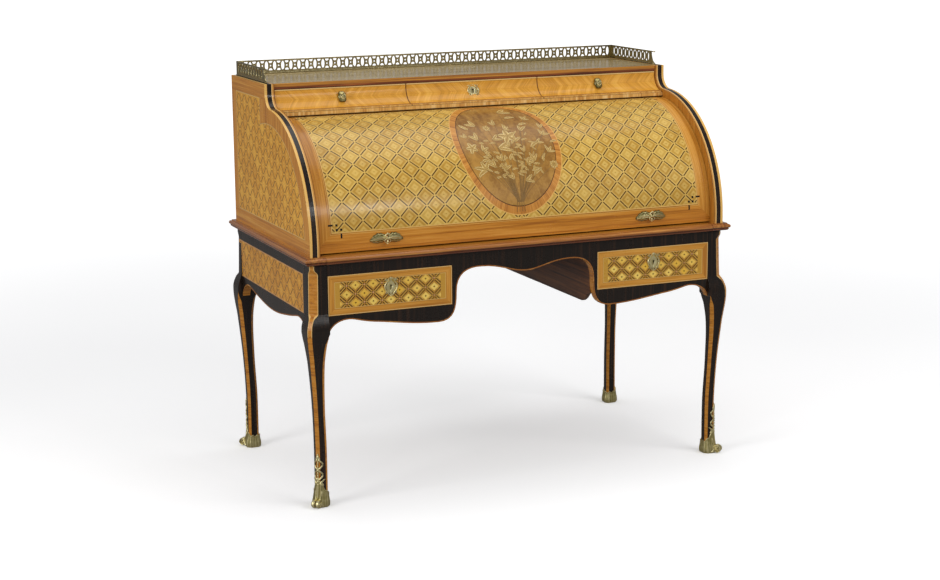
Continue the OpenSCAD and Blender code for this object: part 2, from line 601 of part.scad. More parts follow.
// A mount bent to the hollow: its outline, and how thick it is
module on_hollow(x, t) intersection() {
    toward_hollow(x) linear_extrude(hollow_r) mirror([0, 1]) children();
    translate([x - frieze_plate[0], frieze_nose_y, hollow_z]) rotate([0, 90, 0]) difference() {
        cylinder(r = hollow_r - mount_gap, h = 2 * frieze_plate[0], $fn = 96);
        translate([0, 0, -EPS]) cylinder(r = hollow_r - t, h = 2 * frieze_plate[0] + 2 * EPS, $fn = 96);
    }
}
module frieze_knob() color(BRASS) {
    on_hollow(handle_x, plate_t) polygon(oval(0, 0, knob_oval[0], knob_oval[1], 24));
    toward_hollow(handle_x) translate([0, 0, hollow_r - plate_t - knob_reach])
        cylinder(r = knob_r, h = knob_reach + 0.5, $fn = 32);
}
module frieze_escutcheon() color(BRASS) on_hollow(0, plate_t) difference() {
    polygon(plate_outline(frieze_plate[0], frieze_plate[1]));
    keyhole();
}

side(-1) end_of(-1) leg();  // leg_front_left
end_of(-1) leg();  // leg_front_right
side(-1) leg();  // leg_back_left
leg();  // leg_back_right
side(-1) end_of(-1) sabot();  // sabot_front_left
end_of(-1) sabot();  // sabot_front_right
side(-1) sabot();  // sabot_back_left
sabot();  // sabot_back_right
front_apron();
side(-1) side_apron();  // side_apron_left
side_apron();  // side_apron_right
back_apron();
side(-1) kneehole_side();  // kneehole_side_left
kneehole_side();  // kneehole_side_right
drawer_runners();
carcase_top_board();
side(-1) top_moulding();  // top_moulding_left
top_moulding();  // top_moulding_right
top_moulding_back();
side(-1) end_board();  // end_left
end_board();  // end_right
back_panel();
cabinet_floor();
frieze_shelf();
frieze_dividers();
top_board();
gallery_back();
side(-1) gallery_side();  // gallery_left
gallery_side();  // gallery_right
pigeonhole_case();
pigeonhole_partitions();
pivot_pins();
fall_panel();
side(-1) fall_arm();  // fall_arm_left
fall_arm();  // fall_arm_right
side(-1) fall_handle();  // fall_handle_left
fall_handle();  // fall_handle_right
writing_slide();
writing_leather();
side(-1) lower_drawer_front();  // lower_drawer_front_left
side(-1) lower_drawer_box();  // lower_drawer_box_left
side(-1) lower_escutcheon();  // lower_escutcheon_left
side(-1) lower_lock();  // lower_lock_left
lower_drawer_front();  // lower_drawer_front_right
lower_drawer_box();  // lower_drawer_box_right
lower_escutcheon();  // lower_escutcheon_right
lower_lock();  // lower_lock_right
side(-1) frieze_front(outer_x0, outer_x1);  // frieze_drawer_front_left
side(-1) frieze_box(outer_x0, outer_x1);  // frieze_drawer_box_left
side(-1) frieze_knob();  // frieze_knob_left
frieze_front(outer_x0, outer_x1);  // frieze_drawer_front_right
frieze_box(outer_x0, outer_x1);  // frieze_drawer_box_right
frieze_knob();  // frieze_knob_right
frieze_front(-middle_x1, middle_x1);  // frieze_drawer_front_centre
frieze_box(-middle_x1, middle_x1);  // frieze_drawer_box_centre
frieze_escutcheon();  // frieze_escutcheon_centre
side(-1) small_drawer();  // small_drawer_left
small_drawer();  // small_drawer_right
side(-1) small_knob();  // small_knob_left
small_knob();  // small_knob_right
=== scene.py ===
import math
import random

import bpy
from mathutils import Matrix, Vector


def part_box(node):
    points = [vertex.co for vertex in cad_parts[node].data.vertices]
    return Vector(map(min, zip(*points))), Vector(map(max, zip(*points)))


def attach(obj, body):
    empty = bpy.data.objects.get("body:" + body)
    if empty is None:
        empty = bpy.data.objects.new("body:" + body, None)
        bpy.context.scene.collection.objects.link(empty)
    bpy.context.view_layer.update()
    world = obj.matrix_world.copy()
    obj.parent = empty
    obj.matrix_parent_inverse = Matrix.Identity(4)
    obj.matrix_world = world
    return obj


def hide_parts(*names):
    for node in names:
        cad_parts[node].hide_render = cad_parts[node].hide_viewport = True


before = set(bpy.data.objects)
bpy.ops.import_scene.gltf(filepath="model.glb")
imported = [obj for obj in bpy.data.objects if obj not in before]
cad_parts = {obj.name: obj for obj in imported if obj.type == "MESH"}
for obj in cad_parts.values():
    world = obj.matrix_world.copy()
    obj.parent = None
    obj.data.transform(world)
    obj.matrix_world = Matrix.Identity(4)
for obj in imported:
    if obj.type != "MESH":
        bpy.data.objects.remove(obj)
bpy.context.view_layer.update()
mm = 0.001

# ---- The room ---------------------------------------------------------------
# A pale studio floor without a horizon, lit by large soft boxes.
# The camera stands off the left front corner of the desk, a little above its top.
scene = bpy.context.scene
scene.view_settings.view_transform = "Standard"


def look_along(azimuth, pitch, roll):
    """Turn of a camera that looks along +Y at azimuth 0, down by pitch and rolled clockwise."""
    flat = math.cos(pitch)
    back = Vector((math.sin(azimuth) * flat, -math.cos(azimuth) * flat, math.sin(pitch)))
    level = Vector((math.cos(azimuth), math.sin(azimuth), 0))
    upward = back.cross(level)
    right = math.cos(roll) * level + math.sin(roll) * upward
    up = math.cos(roll) * upward - math.sin(roll) * level
    return Matrix((right, up, back)).transposed()


def soft_box(name, place, aim, width, height, power):
    """A flat rectangular light that faces the point aim."""
    lamp = bpy.data.lights.new(name, "AREA")
    lamp.shape = "RECTANGLE"
    lamp.size = width
    lamp.size_y = height
    lamp.energy = power
    holder = bpy.data.objects.new(name, lamp)
    holder.location = place
    holder.rotation_euler = (Vector(place) - Vector(aim)).to_track_quat("Z", "Y").to_euler()
    scene.collection.objects.link(holder)
    return holder


camera = bpy.data.objects.new("camera", bpy.data.cameras.new("camera"))
camera.data.sensor_width = 36
camera.data.lens = 73.3
camera.data.clip_end = 200
camera.location = (-2.3103, -5.2762, 1.7130)
turn = look_along(math.radians(-23.424), math.radians(11.826), math.radians(-0.435))
camera.rotation_euler = turn.to_euler()
scene.collection.objects.link(camera)
scene.camera = camera

soft_box("key_box", (2.6, -3.6, 3.4), (0, 0, 0.7), 2.6, 2.0, 76).visible_glossy = False
soft_box("left_box", (-4.2, -1.4, 2.2), (0, 0, 0.8), 1.6, 2.6, 62)
soft_box("glint_box", (1.2, -4.6, 2.9), (0, 0, 0.8), 0.6, 0.6, 16)
soft_box("left_glint_box", (-3.6, -3.4, 1.5), (0, 0, 0.8), 0.5, 0.8, 9)
soft_box("top_box", (0.3, 0.4, 4.2), (0, 0, 0.5), 3.2, 2.4, 34)

room = bpy.data.worlds.new("room")
scene.world = room
room.use_nodes = True
backdrop = room.node_tree.nodes["Background"]
backdrop.inputs["Color"].default_value = (0.985, 0.99, 1.0, 1)

floor_mesh = bpy.data.meshes.new("floor")
reach = 60
corners = [(-reach, -reach, 0), (reach, -reach, 0), (reach, reach, 0), (-reach, reach, 0)]
floor_mesh.from_pydata(corners, [], [(0, 1, 2, 3)])
floor = bpy.data.objects.new("floor", floor_mesh)
scene.collection.objects.link(floor)


def srgb(code):
    """The linear colour of a hex code."""
    shares = [int(code[i:i + 2], 16) / 255 for i in (1, 3, 5)]
    return [c / 12.92 if c < 0.04045 else ((c + 0.055) / 1.055) ** 2.4 for c in shares] + [1.0]


class Wire:
    """What one socket gives, ready to be used in sums with numbers and other wires."""

    def __init__(self, bench, socket):
        self.bench = bench
        self.socket = socket

    def sum(self, operation, other=0.0):
        return self.bench.lay("ShaderNodeMath", {0: self, 1: other}, operation=operation)

    def __add__(self, other):
        return self.sum("ADD", other)

    def __sub__(self, other):
        return self.sum("SUBTRACT", other)

    def __mul__(self, other):
        return self.sum("MULTIPLY", other)

    def __truediv__(self, other):
        return self.sum("DIVIDE", other)

    def size(self):
        return self.sum("ABSOLUTE")

    def least(self, other):
        return self.sum("MINIMUM", other)

    def most(self, other):
        return self.sum("MAXIMUM", other)

    def over(self, other):
        return self.sum("GREATER_THAN", other)

    def under(self, other):
        return self.sum("LESS_THAN", other)

    def between(self, low, high):
        return self.over(low) * self.under(high)

    def soft(self, low, high):
        """0 below low, 1 above high and a smooth rise between."""
        feeds = {"Value": self, "From Min": low, "From Max": high}
        return self.bench.lay("ShaderNodeMapRange", feeds, interpolation_type="SMOOTHSTEP")


class Bench:
    """A node tree being laid out: each call lays one node and hands back what it gives."""

    def __init__(self, tree):
        self.tree = tree

    def lay(self, kind, feeds, gives=0, **settings):
        node = self.tree.nodes.new(kind)
        for name, value in settings.items():
            setattr(node, name, value)
        for socket, value in feeds.items():
            self.feed(node.inputs[socket], value)
        return Wire(self, node.outputs[gives])

    def feed(self, socket, value):
        if isinstance(value, Wire):
            self.tree.links.new(value.socket, socket)
        else:
            socket.default_value = value

    def point(self, x, y, z):
        return self.lay("ShaderNodeCombineXYZ", {0: x, 1: y, 2: z})

    def noise(self, point, scale=1.0, detail=2.0, roughness=0.5, wander=0.0):
        feeds = {"Vector": point, "Scale": scale, "Detail": detail, "Roughness": roughness,
                 "Distortion": wander}
        return self.lay("ShaderNodeTexNoise", feeds)

    def chance(self, point):
        """A random value for each whole-numbered point."""
        return self.lay("ShaderNodeTexWhiteNoise", {"Vector": point})

    def mix(self, share, first, second):
        """first where share is 0, second where it is 1."""
        return self.lay("ShaderNodeMix", {0: share, 6: first, 7: second}, gives=2, data_type="RGBA")

    def split(self, wire):
        node = self.tree.nodes.new("ShaderNodeSeparateXYZ")
        self.feed(node.inputs[0], wire)
        return [Wire(self, node.outputs[i]) for i in range(3)]

    def spot(self):
        """x, y and z of the spot on the piece."""
        return self.split(self.lay("ShaderNodeTexCoord", {}, gives="Object"))

    def facing(self):
        """How far the face looks along x, y and z."""
        return self.split(self.lay("ShaderNodeTexCoord", {}, gives="Normal"))

    def place(self, group, feeds):
        """Places a copy of a node group, and gives its outputs by name."""
        node = self.tree.nodes.new("ShaderNodeGroup")
        node.node_tree = group
        for socket, value in feeds.items():
            self.feed(node.inputs[socket], value)
        return {s.name: Wire(self, s) for s in node.outputs}


def new_group(name, takes, gives, colours=()):
    """An empty node group: its bench, its input wires and its way out. All but colours are numbers."""
    tree = bpy.data.node_groups.new(name, "ShaderNodeTree")
    for way, labels in (("INPUT", takes), ("OUTPUT", gives)):
        for label in labels:
            kind = "NodeSocketColor" if label in colours else "NodeSocketFloat"
            tree.interface.new_socket(label, in_out=way, socket_type=kind)
    bench = Bench(tree)
    source = tree.nodes.new("NodeGroupInput")
    sink = tree.nodes.new("NodeGroupOutput")
    return bench, [Wire(bench, source.outputs[label]) for label in takes], sink


def new_finish(name, **sockets):
    """An empty material with its plain shader values set: the material, its bench and its shader."""
    material = bpy.data.materials.new(name)
    material.use_nodes = True
    bench = Bench(material.node_tree)
    shader = material.node_tree.nodes["Principled BSDF"]
    for label, value in sockets.items():
        shader.inputs[label.replace("_", " ")].default_value = value
    return material, bench, shader


def raise_surface(bench, shader, height, depth):
    """Turns a height into relief of that depth in metres."""
    bump = bench.lay("ShaderNodeBump", {"Strength": 1.0, "Distance": depth, "Height": height}, gives="Normal")
    bench.feed(shader.inputs["Normal"], bump)


bench = Bench(room.node_tree)
seen = bench.lay("ShaderNodeLightPath", {}, gives="Is Camera Ray")
mirrored = bench.lay("ShaderNodeLightPath", {}, gives="Is Glossy Ray")
bench.feed(backdrop.inputs["Strength"], seen * 0.5 + mirrored * -0.24 + 0.52)

floor_finish, bench, shader = new_finish("studio_floor", Roughness=0.9, Specular_IOR_Level=0.1)
shader.inputs["Emission Color"].default_value = (1.0, 1.0, 1.0, 1.0)
x, y, z = bench.spot()
haze = bench.noise(bench.point(x, y, 0.0), scale=0.8, detail=1)
seen = bench.lay("ShaderNodeLightPath", {}, gives="Is Camera Ray")
pale = bench.mix(haze, srgb("#f2f2f3"), srgb("#f8f8f8"))
bench.feed(shader.inputs["Base Color"], bench.mix(seen, srgb("#9a9896"), pale))
far = (x * x + y * y).sum("SQRT").soft(1.6, 7.0)
bench.feed(shader.inputs["Emission Strength"], seen * (far * 0.52 + 0.23))
floor_mesh.materials.append(floor_finish)

# ---- Legs -------------------------------------------------------------------
# Four cabriole legs of beech under dark veneer, each running up as the corner post of the carcase.
# Their corners are chamfered and banded with tulipwood, and the outer chamfer swells to a panel.

# Veneer in three tones, with its grain along the first place: broad streaks, fine lines and pores
bench, (along, across, deep, streaks, light, mid, dark), sink = new_group(
    "veneer", ["Along", "Across", "Deep", "Streaks", "Light", "Mid", "Dark"], ["Colour", "Tone"],
    ["Light", "Mid", "Dark", "Colour"])
stretched = bench.point(along * 1.7, across * streaks, deep * streaks)
broad = bench.noise(stretched, detail=4, roughness=0.6, wander=0.7)
lines = bench.noise(bench.point(along * 11, across * streaks * 8.0, deep * streaks * 8.0), detail=2)
pores = bench.noise(bench.point(along * 50, across * 1300, deep * 1300), detail=1)
tone = (broad * 0.68 + lines * 0.32).soft(0.3, 0.7)
colour = bench.mix(tone.soft(0.0, 0.6), dark, mid)
colour = bench.mix(tone.soft(0.5, 1.0), colour, light)
bench.feed(sink.inputs["Colour"], bench.mix(pores.soft(0.6, 0.75) * 0.35, colour, dark))
bench.feed(sink.inputs["Tone"], tone)
veneer = bench.tree

# Old polish: uneven gloss, with dulled patches and fine handling marks
bench, (x, y, z, gloss), sink = new_group("old_polish", ["X", "Y", "Z", "Base"], ["Roughness", "Marks"])
clouds = bench.noise(bench.point(x * 7, y * 7, z * 7), detail=3)
marks = bench.noise(bench.point(x * 120, y * 120, z * 120), detail=3, roughness=0.7, wander=1.5)
bench.feed(sink.inputs["Roughness"], gloss + (clouds - 0.5) * 0.2 + (marks - 0.5) * 0.12)
bench.feed(sink.inputs["Marks"], marks)
old_polish = bench.tree

tulip_light = srgb("#d89c42")
tulip_mid = srgb("#c8842b")
tulip_dark = srgb("#a96a22")
banding_pale = srgb("#c78f4c")
banding_deep = srgb("#9a5f2a")
black_ground = srgb("#1d1713")
black_streak = srgb("#37251a")
string_pale = srgb("#e2b872")


def veneer_colour(bench, along, across, deep, streaks, light, mid, dark):
    """Colour and tone of a veneer whose grain runs along the first place."""
    sheet = bench.place(veneer, {"Along": along, "Across": across, "Deep": deep, "Streaks": streaks,
                                 "Light": light, "Mid": mid, "Dark": dark})
    return sheet["Colour"], sheet["Tone"]


def polish(bench, shader, x, y, z, base, tone, relief=0.00006):
    """Old French polish over a veneer: its uneven gloss and the figure just felt through it."""
    coat = bench.place(old_polish, {"X": x, "Y": y, "Z": z, "Base": base})
    bench.feed(shader.inputs["Roughness"], coat["Roughness"])
    raise_surface(bench, shader, tone * 0.6 + coat["Marks"] * 0.4, relief)


def add_piece(name, points, faces, body, material, replaces=(), smooth=True):
    """A new mesh piece in the desk's own frame, riding on a body of the desk."""
    mesh = bpy.data.meshes.new(name)
    mesh.from_pydata([tuple(p) for p in points], [], faces)
    mesh.materials.append(material)
    mesh.polygons.foreach_set("use_smooth", [smooth] * len(mesh.polygons))
    mesh.update()
    piece = bpy.data.objects.new(name, mesh)
    scene.collection.objects.link(piece)
    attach(piece, body)
    if replaces:
        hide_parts(*replaces)
    return piece


def weigh_normals(piece):
    """Lets the broad faces of a piece stay flat beside its rounded edges."""
    piece.modifiers.new("weighted", "WEIGHTED_NORMAL").keep_sharp = True


def rings_of(node):
    """The level rings of points that a lofted CAD node is made of, lowest first."""
    levels = {}
    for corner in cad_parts[node].data.vertices:
        levels.setdefault(round(corner.co.z, 5), set()).add(tuple(round(c, 6) for c in corner.co))
    rings = []
    for height in sorted(levels):
        ring = [Vector(p) for p in levels[height]]
        middle = sum(ring, Vector()) / len(ring)
        rings.append(sorted(ring, key=lambda p: math.atan2(p.y - middle.y, p.x - middle.x)))
    return rings


def finer(rings, parts):
    """Rings with more levels between them, on a smooth curve through the ones given."""
    made = []
    for i in range(len(rings) - 1):
        before, start = rings[max(0, i - 1)], rings[i]
        end, after = rings[i + 1], rings[min(len(rings) - 1, i + 2)]
        for k in range(parts):
            t = k / parts
            ring = []
            for a, b, c, d in zip(before, start, end, after):
                rise = c.z - b.z
                slope_b = (c - a) * (rise / max(c.z - a.z, 1e-6))
                slope_c = (d - b) * (rise / max(d.z - b.z, 1e-6))
                ring.append(b * (2 * t**3 - 3 * t**2 + 1) + slope_b * (t**3 - 2 * t**2 + t)
                            + c * (3 * t**2 - 2 * t**3) + slope_c * (t**3 - t**2))
            made.append(ring)
    return made + [rings[-1]]


def eased(ring, ease):
    """A ring with each corner cut back by a hair on both sides."""
    made = []
    for i, corner in enumerate(ring):
        for other in (ring[i - 1], ring[(i + 1) % len(ring)]):
            side = other - corner
            made.append(corner + side * min(0.4, ease / max(side.length, 1e-6)))
    return made


def skin(rings, closed_ends=True):
    """Faces that join rings of equal length into a tube."""
    count = len(rings[0])
    faces = []
    for i in range(len(rings) - 1):
        for j in range(count):
            k = (j + 1) % count
            faces.append((i * count + j, i * count + k, (i + 1) * count + k, (i + 1) * count + j))
    if closed_ends:
        faces.append(tuple(reversed(range(count))))
        faces.append(tuple(range((len(rings) - 1) * count, len(rings) * count)))
    return [p for ring in rings for p in ring], faces


post_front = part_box("front_apron")[0].y
case_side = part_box("side_apron_right")[1].x
half_post = 24.5 * mm
panel_low, panel_high, panel_top = 561 * mm, 671 * mm, 687 * mm
knee_low = 501 * mm

leg_finish, bench, shader = new_finish("leg_veneer", Coat_Weight=0.08, Coat_Roughness=0.18,
                                       Specular_IOR_Level=0.25)
x, y, z = bench.spot()
nx, ny, nz = bench.facing()
black, tone = veneer_colour(bench, z, x, y, 130.0, black_streak, black_ground, black_ground)
slant = (x.size() - y.size() - (case_side + post_front)) * 0.7071
band = veneer_colour(bench, slant, z, x * 0.2, 150.0, banding_pale, tulip_mid, banding_deep)[0]
panel_wide = z.soft(panel_low - 7 * mm, panel_low) - z.soft(panel_high, panel_top)
half = panel_wide * 7.6 * mm + 7.0 * mm
string = slant.size().over(half - 1.7 * mm) * z.over(knee_low - 1 * mm)
outward = (x * nx).over(0.0) * (y * ny).over(0.0)
band = bench.mix(string * outward, band, string_pale)
cut_corner = nx.size().over(0.3) * ny.size().over(0.3) * outward.most(z.under(knee_low + 1 * mm))
bench.feed(shader.inputs["Base Color"], bench.mix(cut_corner, black, band))
polish(bench, shader, x, y, z, 0.27, tone)

for corner in ("front_left", "front_right", "back_left", "back_right"):
    rings = [eased(ring, 0.7 * mm) for ring in finer(rings_of("leg_" + corner), 3)]
    points, faces = skin(rings)
    leg = add_piece("cabriole_leg_" + corner, points, faces, "carcase", leg_finish,
                    ["leg_" + corner])
    weigh_normals(leg)

# ---- Sabots -----------------------------------------------------------------
# Gilt bronze shoes over the ends of the legs: a fluted sock, two scrolls under the toe, and a rib
# of beads with two crossing loops that climb the outer corner to a bud. Cast, chased and pinned on.
class Casting:
    """Points and faces of a piece cast in one, in mm."""

    def __init__(self):
        self.points = []
        self.faces = []

    def add(self, points, faces):
        base = len(self.points)
        self.points += [Vector(p) for p in points]
        self.faces += [tuple(base + i for i in face) for face in faces]

    def rod(self, path, radii, flat=1.0, across=(0, 1, 0), sides=8):
        """A tapering rod along a path; flat stretches its section towards across."""
        path = [Vector(p) for p in path]
        rings = []
        for i, here in enumerate(path):
            ahead = (path[min(i + 1, len(path) - 1)] - path[max(i - 1, 0)]).normalized()
            broad = (Vector(across) - ahead * ahead.dot(Vector(across))).normalized()
            other = ahead.cross(broad)
            turns = [2 * math.pi * k / sides for k in range(sides)]
            rings.append([here + (broad * (flat * math.cos(t)) + other * math.sin(t)) * radii[i]
                          for t in turns])
        self.add(*skin(rings))

    def ball(self, centre, radii, sides=10, levels=6):
        """A rounded bead with three half sizes."""
        rings = []
        for i in range(levels + 1):
            rise = math.pi * (0.03 + 0.94 * i / levels) - math.pi / 2
            turns = [2 * math.pi * k / sides for k in range(sides)]
            rings.append([Vector(centre) + Vector((radii[0] * math.cos(t) * math.cos(rise),
                                                   radii[1] * math.sin(t) * math.cos(rise),
                                                   radii[2] * math.sin(rise))) for t in turns])
        self.add(*skin(rings))

    def pad(self, top, bottom, n, m):
        """A closed leaf between two surfaces, each a function of a share along and a share across."""
        upper = [[Vector(top(i / n, j / m)) for j in range(m + 1)] for i in range(n + 1)]
        lower = [[Vector(bottom(i / n, j / m)) for j in range(m + 1)] for i in range(n + 1)]
        rings = [u + list(reversed(d)) for u, d in zip(upper, lower)]
        self.add(*skin(rings))

    def placed(self, turn):
        """The points moved by a matrix."""
        return [turn @ p for p in self.points]


bronze_bright = srgb("#fdf0b8")
bronze_green = srgb("#b8ab6c")
bronze_dark = srgb("#3c3820")

# Worn gilding: bright on the high parts, greenish brown in the hollows
bench, (high, x, y, z, bright, green, dark), sink = new_group(
    "worn_gilding", ["High", "X", "Y", "Z", "Bright", "Green", "Dark"], ["Colour", "Roughness", "Relief"],
    ["Bright", "Green", "Dark", "Colour"])
patches = bench.noise(bench.point(x * 60, y * 60, z * 60), detail=4, roughness=0.65)
grit = bench.noise(bench.point(x * 900, y * 900, z * 900), detail=2)
rubbed = high.soft(0.49, 0.56) * 0.75 + patches.soft(0.42, 0.65) * 0.35
hollow_darkening = (high * -1.0 + 1.0).soft(0.505, 0.56) * 0.9 + grit.soft(0.6, 0.8) * 0.2
bench.feed(sink.inputs["Colour"], bench.mix(hollow_darkening, bench.mix(rubbed, green, bright), dark))
bench.feed(sink.inputs["Relief"], rubbed - hollow_darkening)
bench.feed(sink.inputs["Roughness"], patches * 0.25 + grit * 0.12 + 0.17)
worn_gilding = bench.tree


def gilt_finish(name, bright, green, dark, relief):
    """Chased bronze, worn where it is touched and dark in its hollows."""
    material, bench, shader = new_finish(name, Metallic=1.0)
    x, y, z = bench.spot()
    high = bench.lay("ShaderNodeNewGeometry", {}, gives="Pointiness")
    worn = bench.place(worn_gilding, {"High": high, "X": x, "Y": y, "Z": z,
                                      "Bright": bright, "Green": green, "Dark": dark})
    bench.feed(shader.inputs["Base Color"], worn["Colour"])
    bench.feed(shader.inputs["Roughness"], worn["Roughness"])
    raise_surface(bench, shader, worn["Relief"], relief)
    return material


bronze_finish = gilt_finish("gilt_bronze_mounts", bronze_bright, bronze_green, bronze_dark, 0.0002)

half_ankle = 16.5
sock_steps = [(0, 1.22, 4.5), (4, 1.34, 5), (14, 1.36, 4.6), (26, 1.24, 3),
              (38, 1.17, 1.2), (52, 1.13, 0.2), (150, 1.1, 0)]


def ankle_radius(turn):
    """Distance from the middle of the ankle to its chamfered face in the given direction."""
    diagonal = half_ankle / max(abs(math.cos(turn - math.pi / 4)), abs(math.sin(turn - math.pi / 4)))
    outer = 17.0 / max(math.cos(turn), 0.01)
    others = 18.4 / max(abs(math.cos(turn)), abs(math.sin(turn)))
    return min(diagonal, outer if abs(turn) < math.pi / 4 else others)


def sock_size(height):
    """Growth and outward step of the sock at a height."""
    for (low, grow, step), (high, grow_2, step_2) in zip(sock_steps, sock_steps[1:]):
        if height <= high:
            share = (height - low) / (high - low)
            return grow + (grow_2 - grow) * share, step + (step_2 - step) * share
    return sock_steps[-1][1:]


def sock_ring(share, count=72):
    """One ring of the sock, at a share of its sloping height."""
    ring = []
    for k in range(count):
        turn = 2 * math.pi * k / count
        turn = turn - 2 * math.pi if turn > math.pi else turn
        facing = (1 + math.cos(turn)) / 2
        edge = 38 + 36 * facing ** 3 + 2.5 * math.cos(turn * 9)
        height = edge * min(share, 1.0)
        grow, step = sock_size(height)
        radius = ankle_radius(turn) * grow
        radius = radius + 0.7 * math.cos(turn * 18) * math.sin(min(1, share) * 3.0)
        if share > 1:
            radius = ankle_radius(turn) + 0.1
            step = 0
        elif share > 0.93:
            radius = radius + 1.1
        ring.append(Vector((radius * math.cos(turn) + step * facing, radius * math.sin(turn), height)))
    return ring


sabot = Casting()
sabot.add(*skin([sock_ring(s) for s in (0.002, 0.06, 0.14, 0.24, 0.36, 0.5, 0.64, 0.78, 0.9, 0.93, 0.97,
                                        1.0, 1.01)]))


def corner_face(side, height, lift):
    """Place on the outer corner of the ankle, side mm from its middle line."""
    return (min(17.2, 23.33 - abs(side)) + lift, side, height)


for s in (-1, 1):
    loop = [(s * 12.5 * math.sin(math.pi * (141 - h) / 31.0), h) for h in range(141, 60, -3)]
    sabot.rod([corner_face(y, h, 1.6) for y, h in loop], [1.9] * len(loop), 1.3, (0, 0, 1))
    side_leaf = [(s * (5 + 12 * t), 66 + 26 * t - 10 * t * t) for t in (0, 0.2, 0.4, 0.6, 0.8, 1)]
    sabot.rod([corner_face(y, h, 1.4) for y, h in side_leaf], [2.4, 2.6, 2.4, 2.0, 1.5, 0.7], 1.2, (0, 0, 1))
    curl = []
    for i in range(40):
        turn = math.radians(150 - 20 * i)
        radius = 11.6 - 0.21 * i if i > 8 else 11.6
        curl.append((32 + radius * math.cos(turn), s * 6.8, 12.2 + radius * math.sin(turn)))
    start = [(17, s * 5, 48), (17.5, s * 5.6, 38), (18, s * 6.2, 28), (19.2, s * 6.6, 21)]
    sabot.rod(start + curl, [2.2, 2.2, 2.1, 2.0] + [1.9 - 0.012 * i for i in range(40)], 2.7)
    sabot.ball((32, s * 6.8, 12.2), (4.2, 6.2, 4.2))
    sabot.rod([(12, s * 15, 3), (20, s * 14, 5), (25, s * 10, 12), (22, s * 8, 20)], [2.6, 3.2, 3.0, 1.5])

rib = [(17.5, 138), (18, 120), (18, 100), (18.4, 80), (19.5, 60), (21, 45), (23, 32), (25, 22)]
sabot.rod([(x, 0, z) for x, z in rib], [1.5, 2.0, 2.3, 2.6, 2.9, 3.2, 3.4, 2.5], 0.8)
for i, h in enumerate((134, 128.5, 122.5, 116, 109, 101.5, 93.5, 85, 76, 66)):
    sabot.ball((19.6, 0, h), [2.0 + 0.16 * i] * 3)
sabot.ball((18.6, 0, 146), (3.6, 4.6, 7.5))
for s in (-1, 1):
    sabot.ball((17.6, s * 4.4, 141), (2.6, 2.6, 5.2))
sabot.ball((18.8, 0, 154), (2.0, 2.0, 3.4))

for corner, sx, sy in (("front_left", -1, -1), ("front_right", 1, -1), ("back_left", -1, 1),
                       ("back_right", 1, 1)):
    middle = Vector((sx * (case_side - half_post), sy * (-post_front - half_post), 0))
    turn = Matrix.Translation(middle) @ Matrix.Rotation(math.atan2(sy, sx), 4, "Z") @ Matrix.Scale(mm, 4)
    add_piece("sabot_casting_" + corner, sabot.placed(turn), sabot.faces, "carcase",
              bronze_finish, ["sabot_" + corner])

# ---- Aprons and side panels -------------------------------------------------
# Shaped aprons veneered in the dark wood, tenoned into the posts. Their under-edges are banded with
# tulipwood, a light line follows each lower edge, and each side carries a panel of lozenge parquetry.

# Lozenges in rows: u and v are counted in lozenges along and up, with one centred on every whole place
bench, (u, v, seed), sink = new_group("lozenges", ["U", "V", "Seed"], ["Edge", "Cross", "Cell", "Way"])
p = u + v
q = u - v
p_cell = p.sum("ROUND")
q_cell = q.sum("ROUND")
p_off = p - p_cell
q_off = q - q_cell
bench.feed(sink.inputs["Edge"], p_off.size().most(q_off.size()) * -1.0 + 0.5)
bench.feed(sink.inputs["Cross"], p_off.size().least(q_off.size()) * -1.0 + 0.5)
bench.feed(sink.inputs["Cell"], bench.chance(bench.point(p_cell, q_cell, seed)))
# Way picks two opposite quarters of each lozenge; where it changes their tone, that is a painted sheen of the
# grain
bench.feed(sink.inputs["Way"], (p_off * q_off).over(0.0))
lozenges = bench.tree

# Lozenge parquetry of quartered veneer: pale rims, gold rings, paler hearts and dark lines between
bench, (u, v, seed, x, y, z, line, pale, gold, deep, dark), sink = new_group(
    "lozenge_parquetry", ["U", "V", "Seed", "X", "Y", "Z", "Line", "Pale", "Gold", "Deep", "Dark"],
    ["Colour", "Relief"], ["Pale", "Gold", "Deep", "Dark", "Colour"])
cell = bench.place(lozenges, {"U": u, "V": v, "Seed": seed})
edge = cell["Edge"]
hair = bench.noise(bench.point(x * 260, y * 260, z * 260), detail=3, roughness=0.7)
cloud = bench.noise(bench.point(x * 9, y * 9, z * 9), detail=2)
colour = bench.mix(edge.soft(0.12, 0.16) * edge.soft(0.31, 0.27), pale, gold)
colour = bench.mix(edge.soft(0.44, 0.47) * 0.8, colour, deep)
# partly painted sheen: Way darkens two opposite quarters as if their grain caught less light; the cell, hair
# and cloud terms are the wood's own tone
shade = cell["Cell"] * 0.3 + cell["Way"] * 0.1 + (hair - 0.5) * 0.35 + (cloud - 0.5) * 0.6
colour = bench.mix(shade.most(0.0), colour, deep)
colour = bench.mix(cell["Cell"].soft(0.3, 0.0) * 0.45, colour, pale)
cut = edge.under(line)
bench.feed(sink.inputs["Colour"], bench.mix(cut * cell["Cross"].over(0.085), colour, dark))
bench.feed(sink.inputs["Relief"], cut + hair * 0.3)
lozenge_parquetry = bench.tree
lozenge_wide, lozenge_tall = 56 * mm, 55.4 * mm


def parquetry(bench, u, v, x, y, z, seed, line, colours):
    """Colour and relief of a field of lozenges; colours are its pale, gold, deep and line tones."""
    feeds = {"U": u, "V": v, "Seed": seed, "X": x, "Y": y, "Z": z, "Line": line}
    feeds.update(zip(("Pale", "Gold", "Deep", "Dark"), colours))
    field = bench.place(lozenge_parquetry, feeds)
    return field["Colour"], field["Relief"]


def dress(finish, *nodes):
    """Gives CAD nodes their finish."""
    for node in nodes:
        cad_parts[node].material_slots[0].material = finish


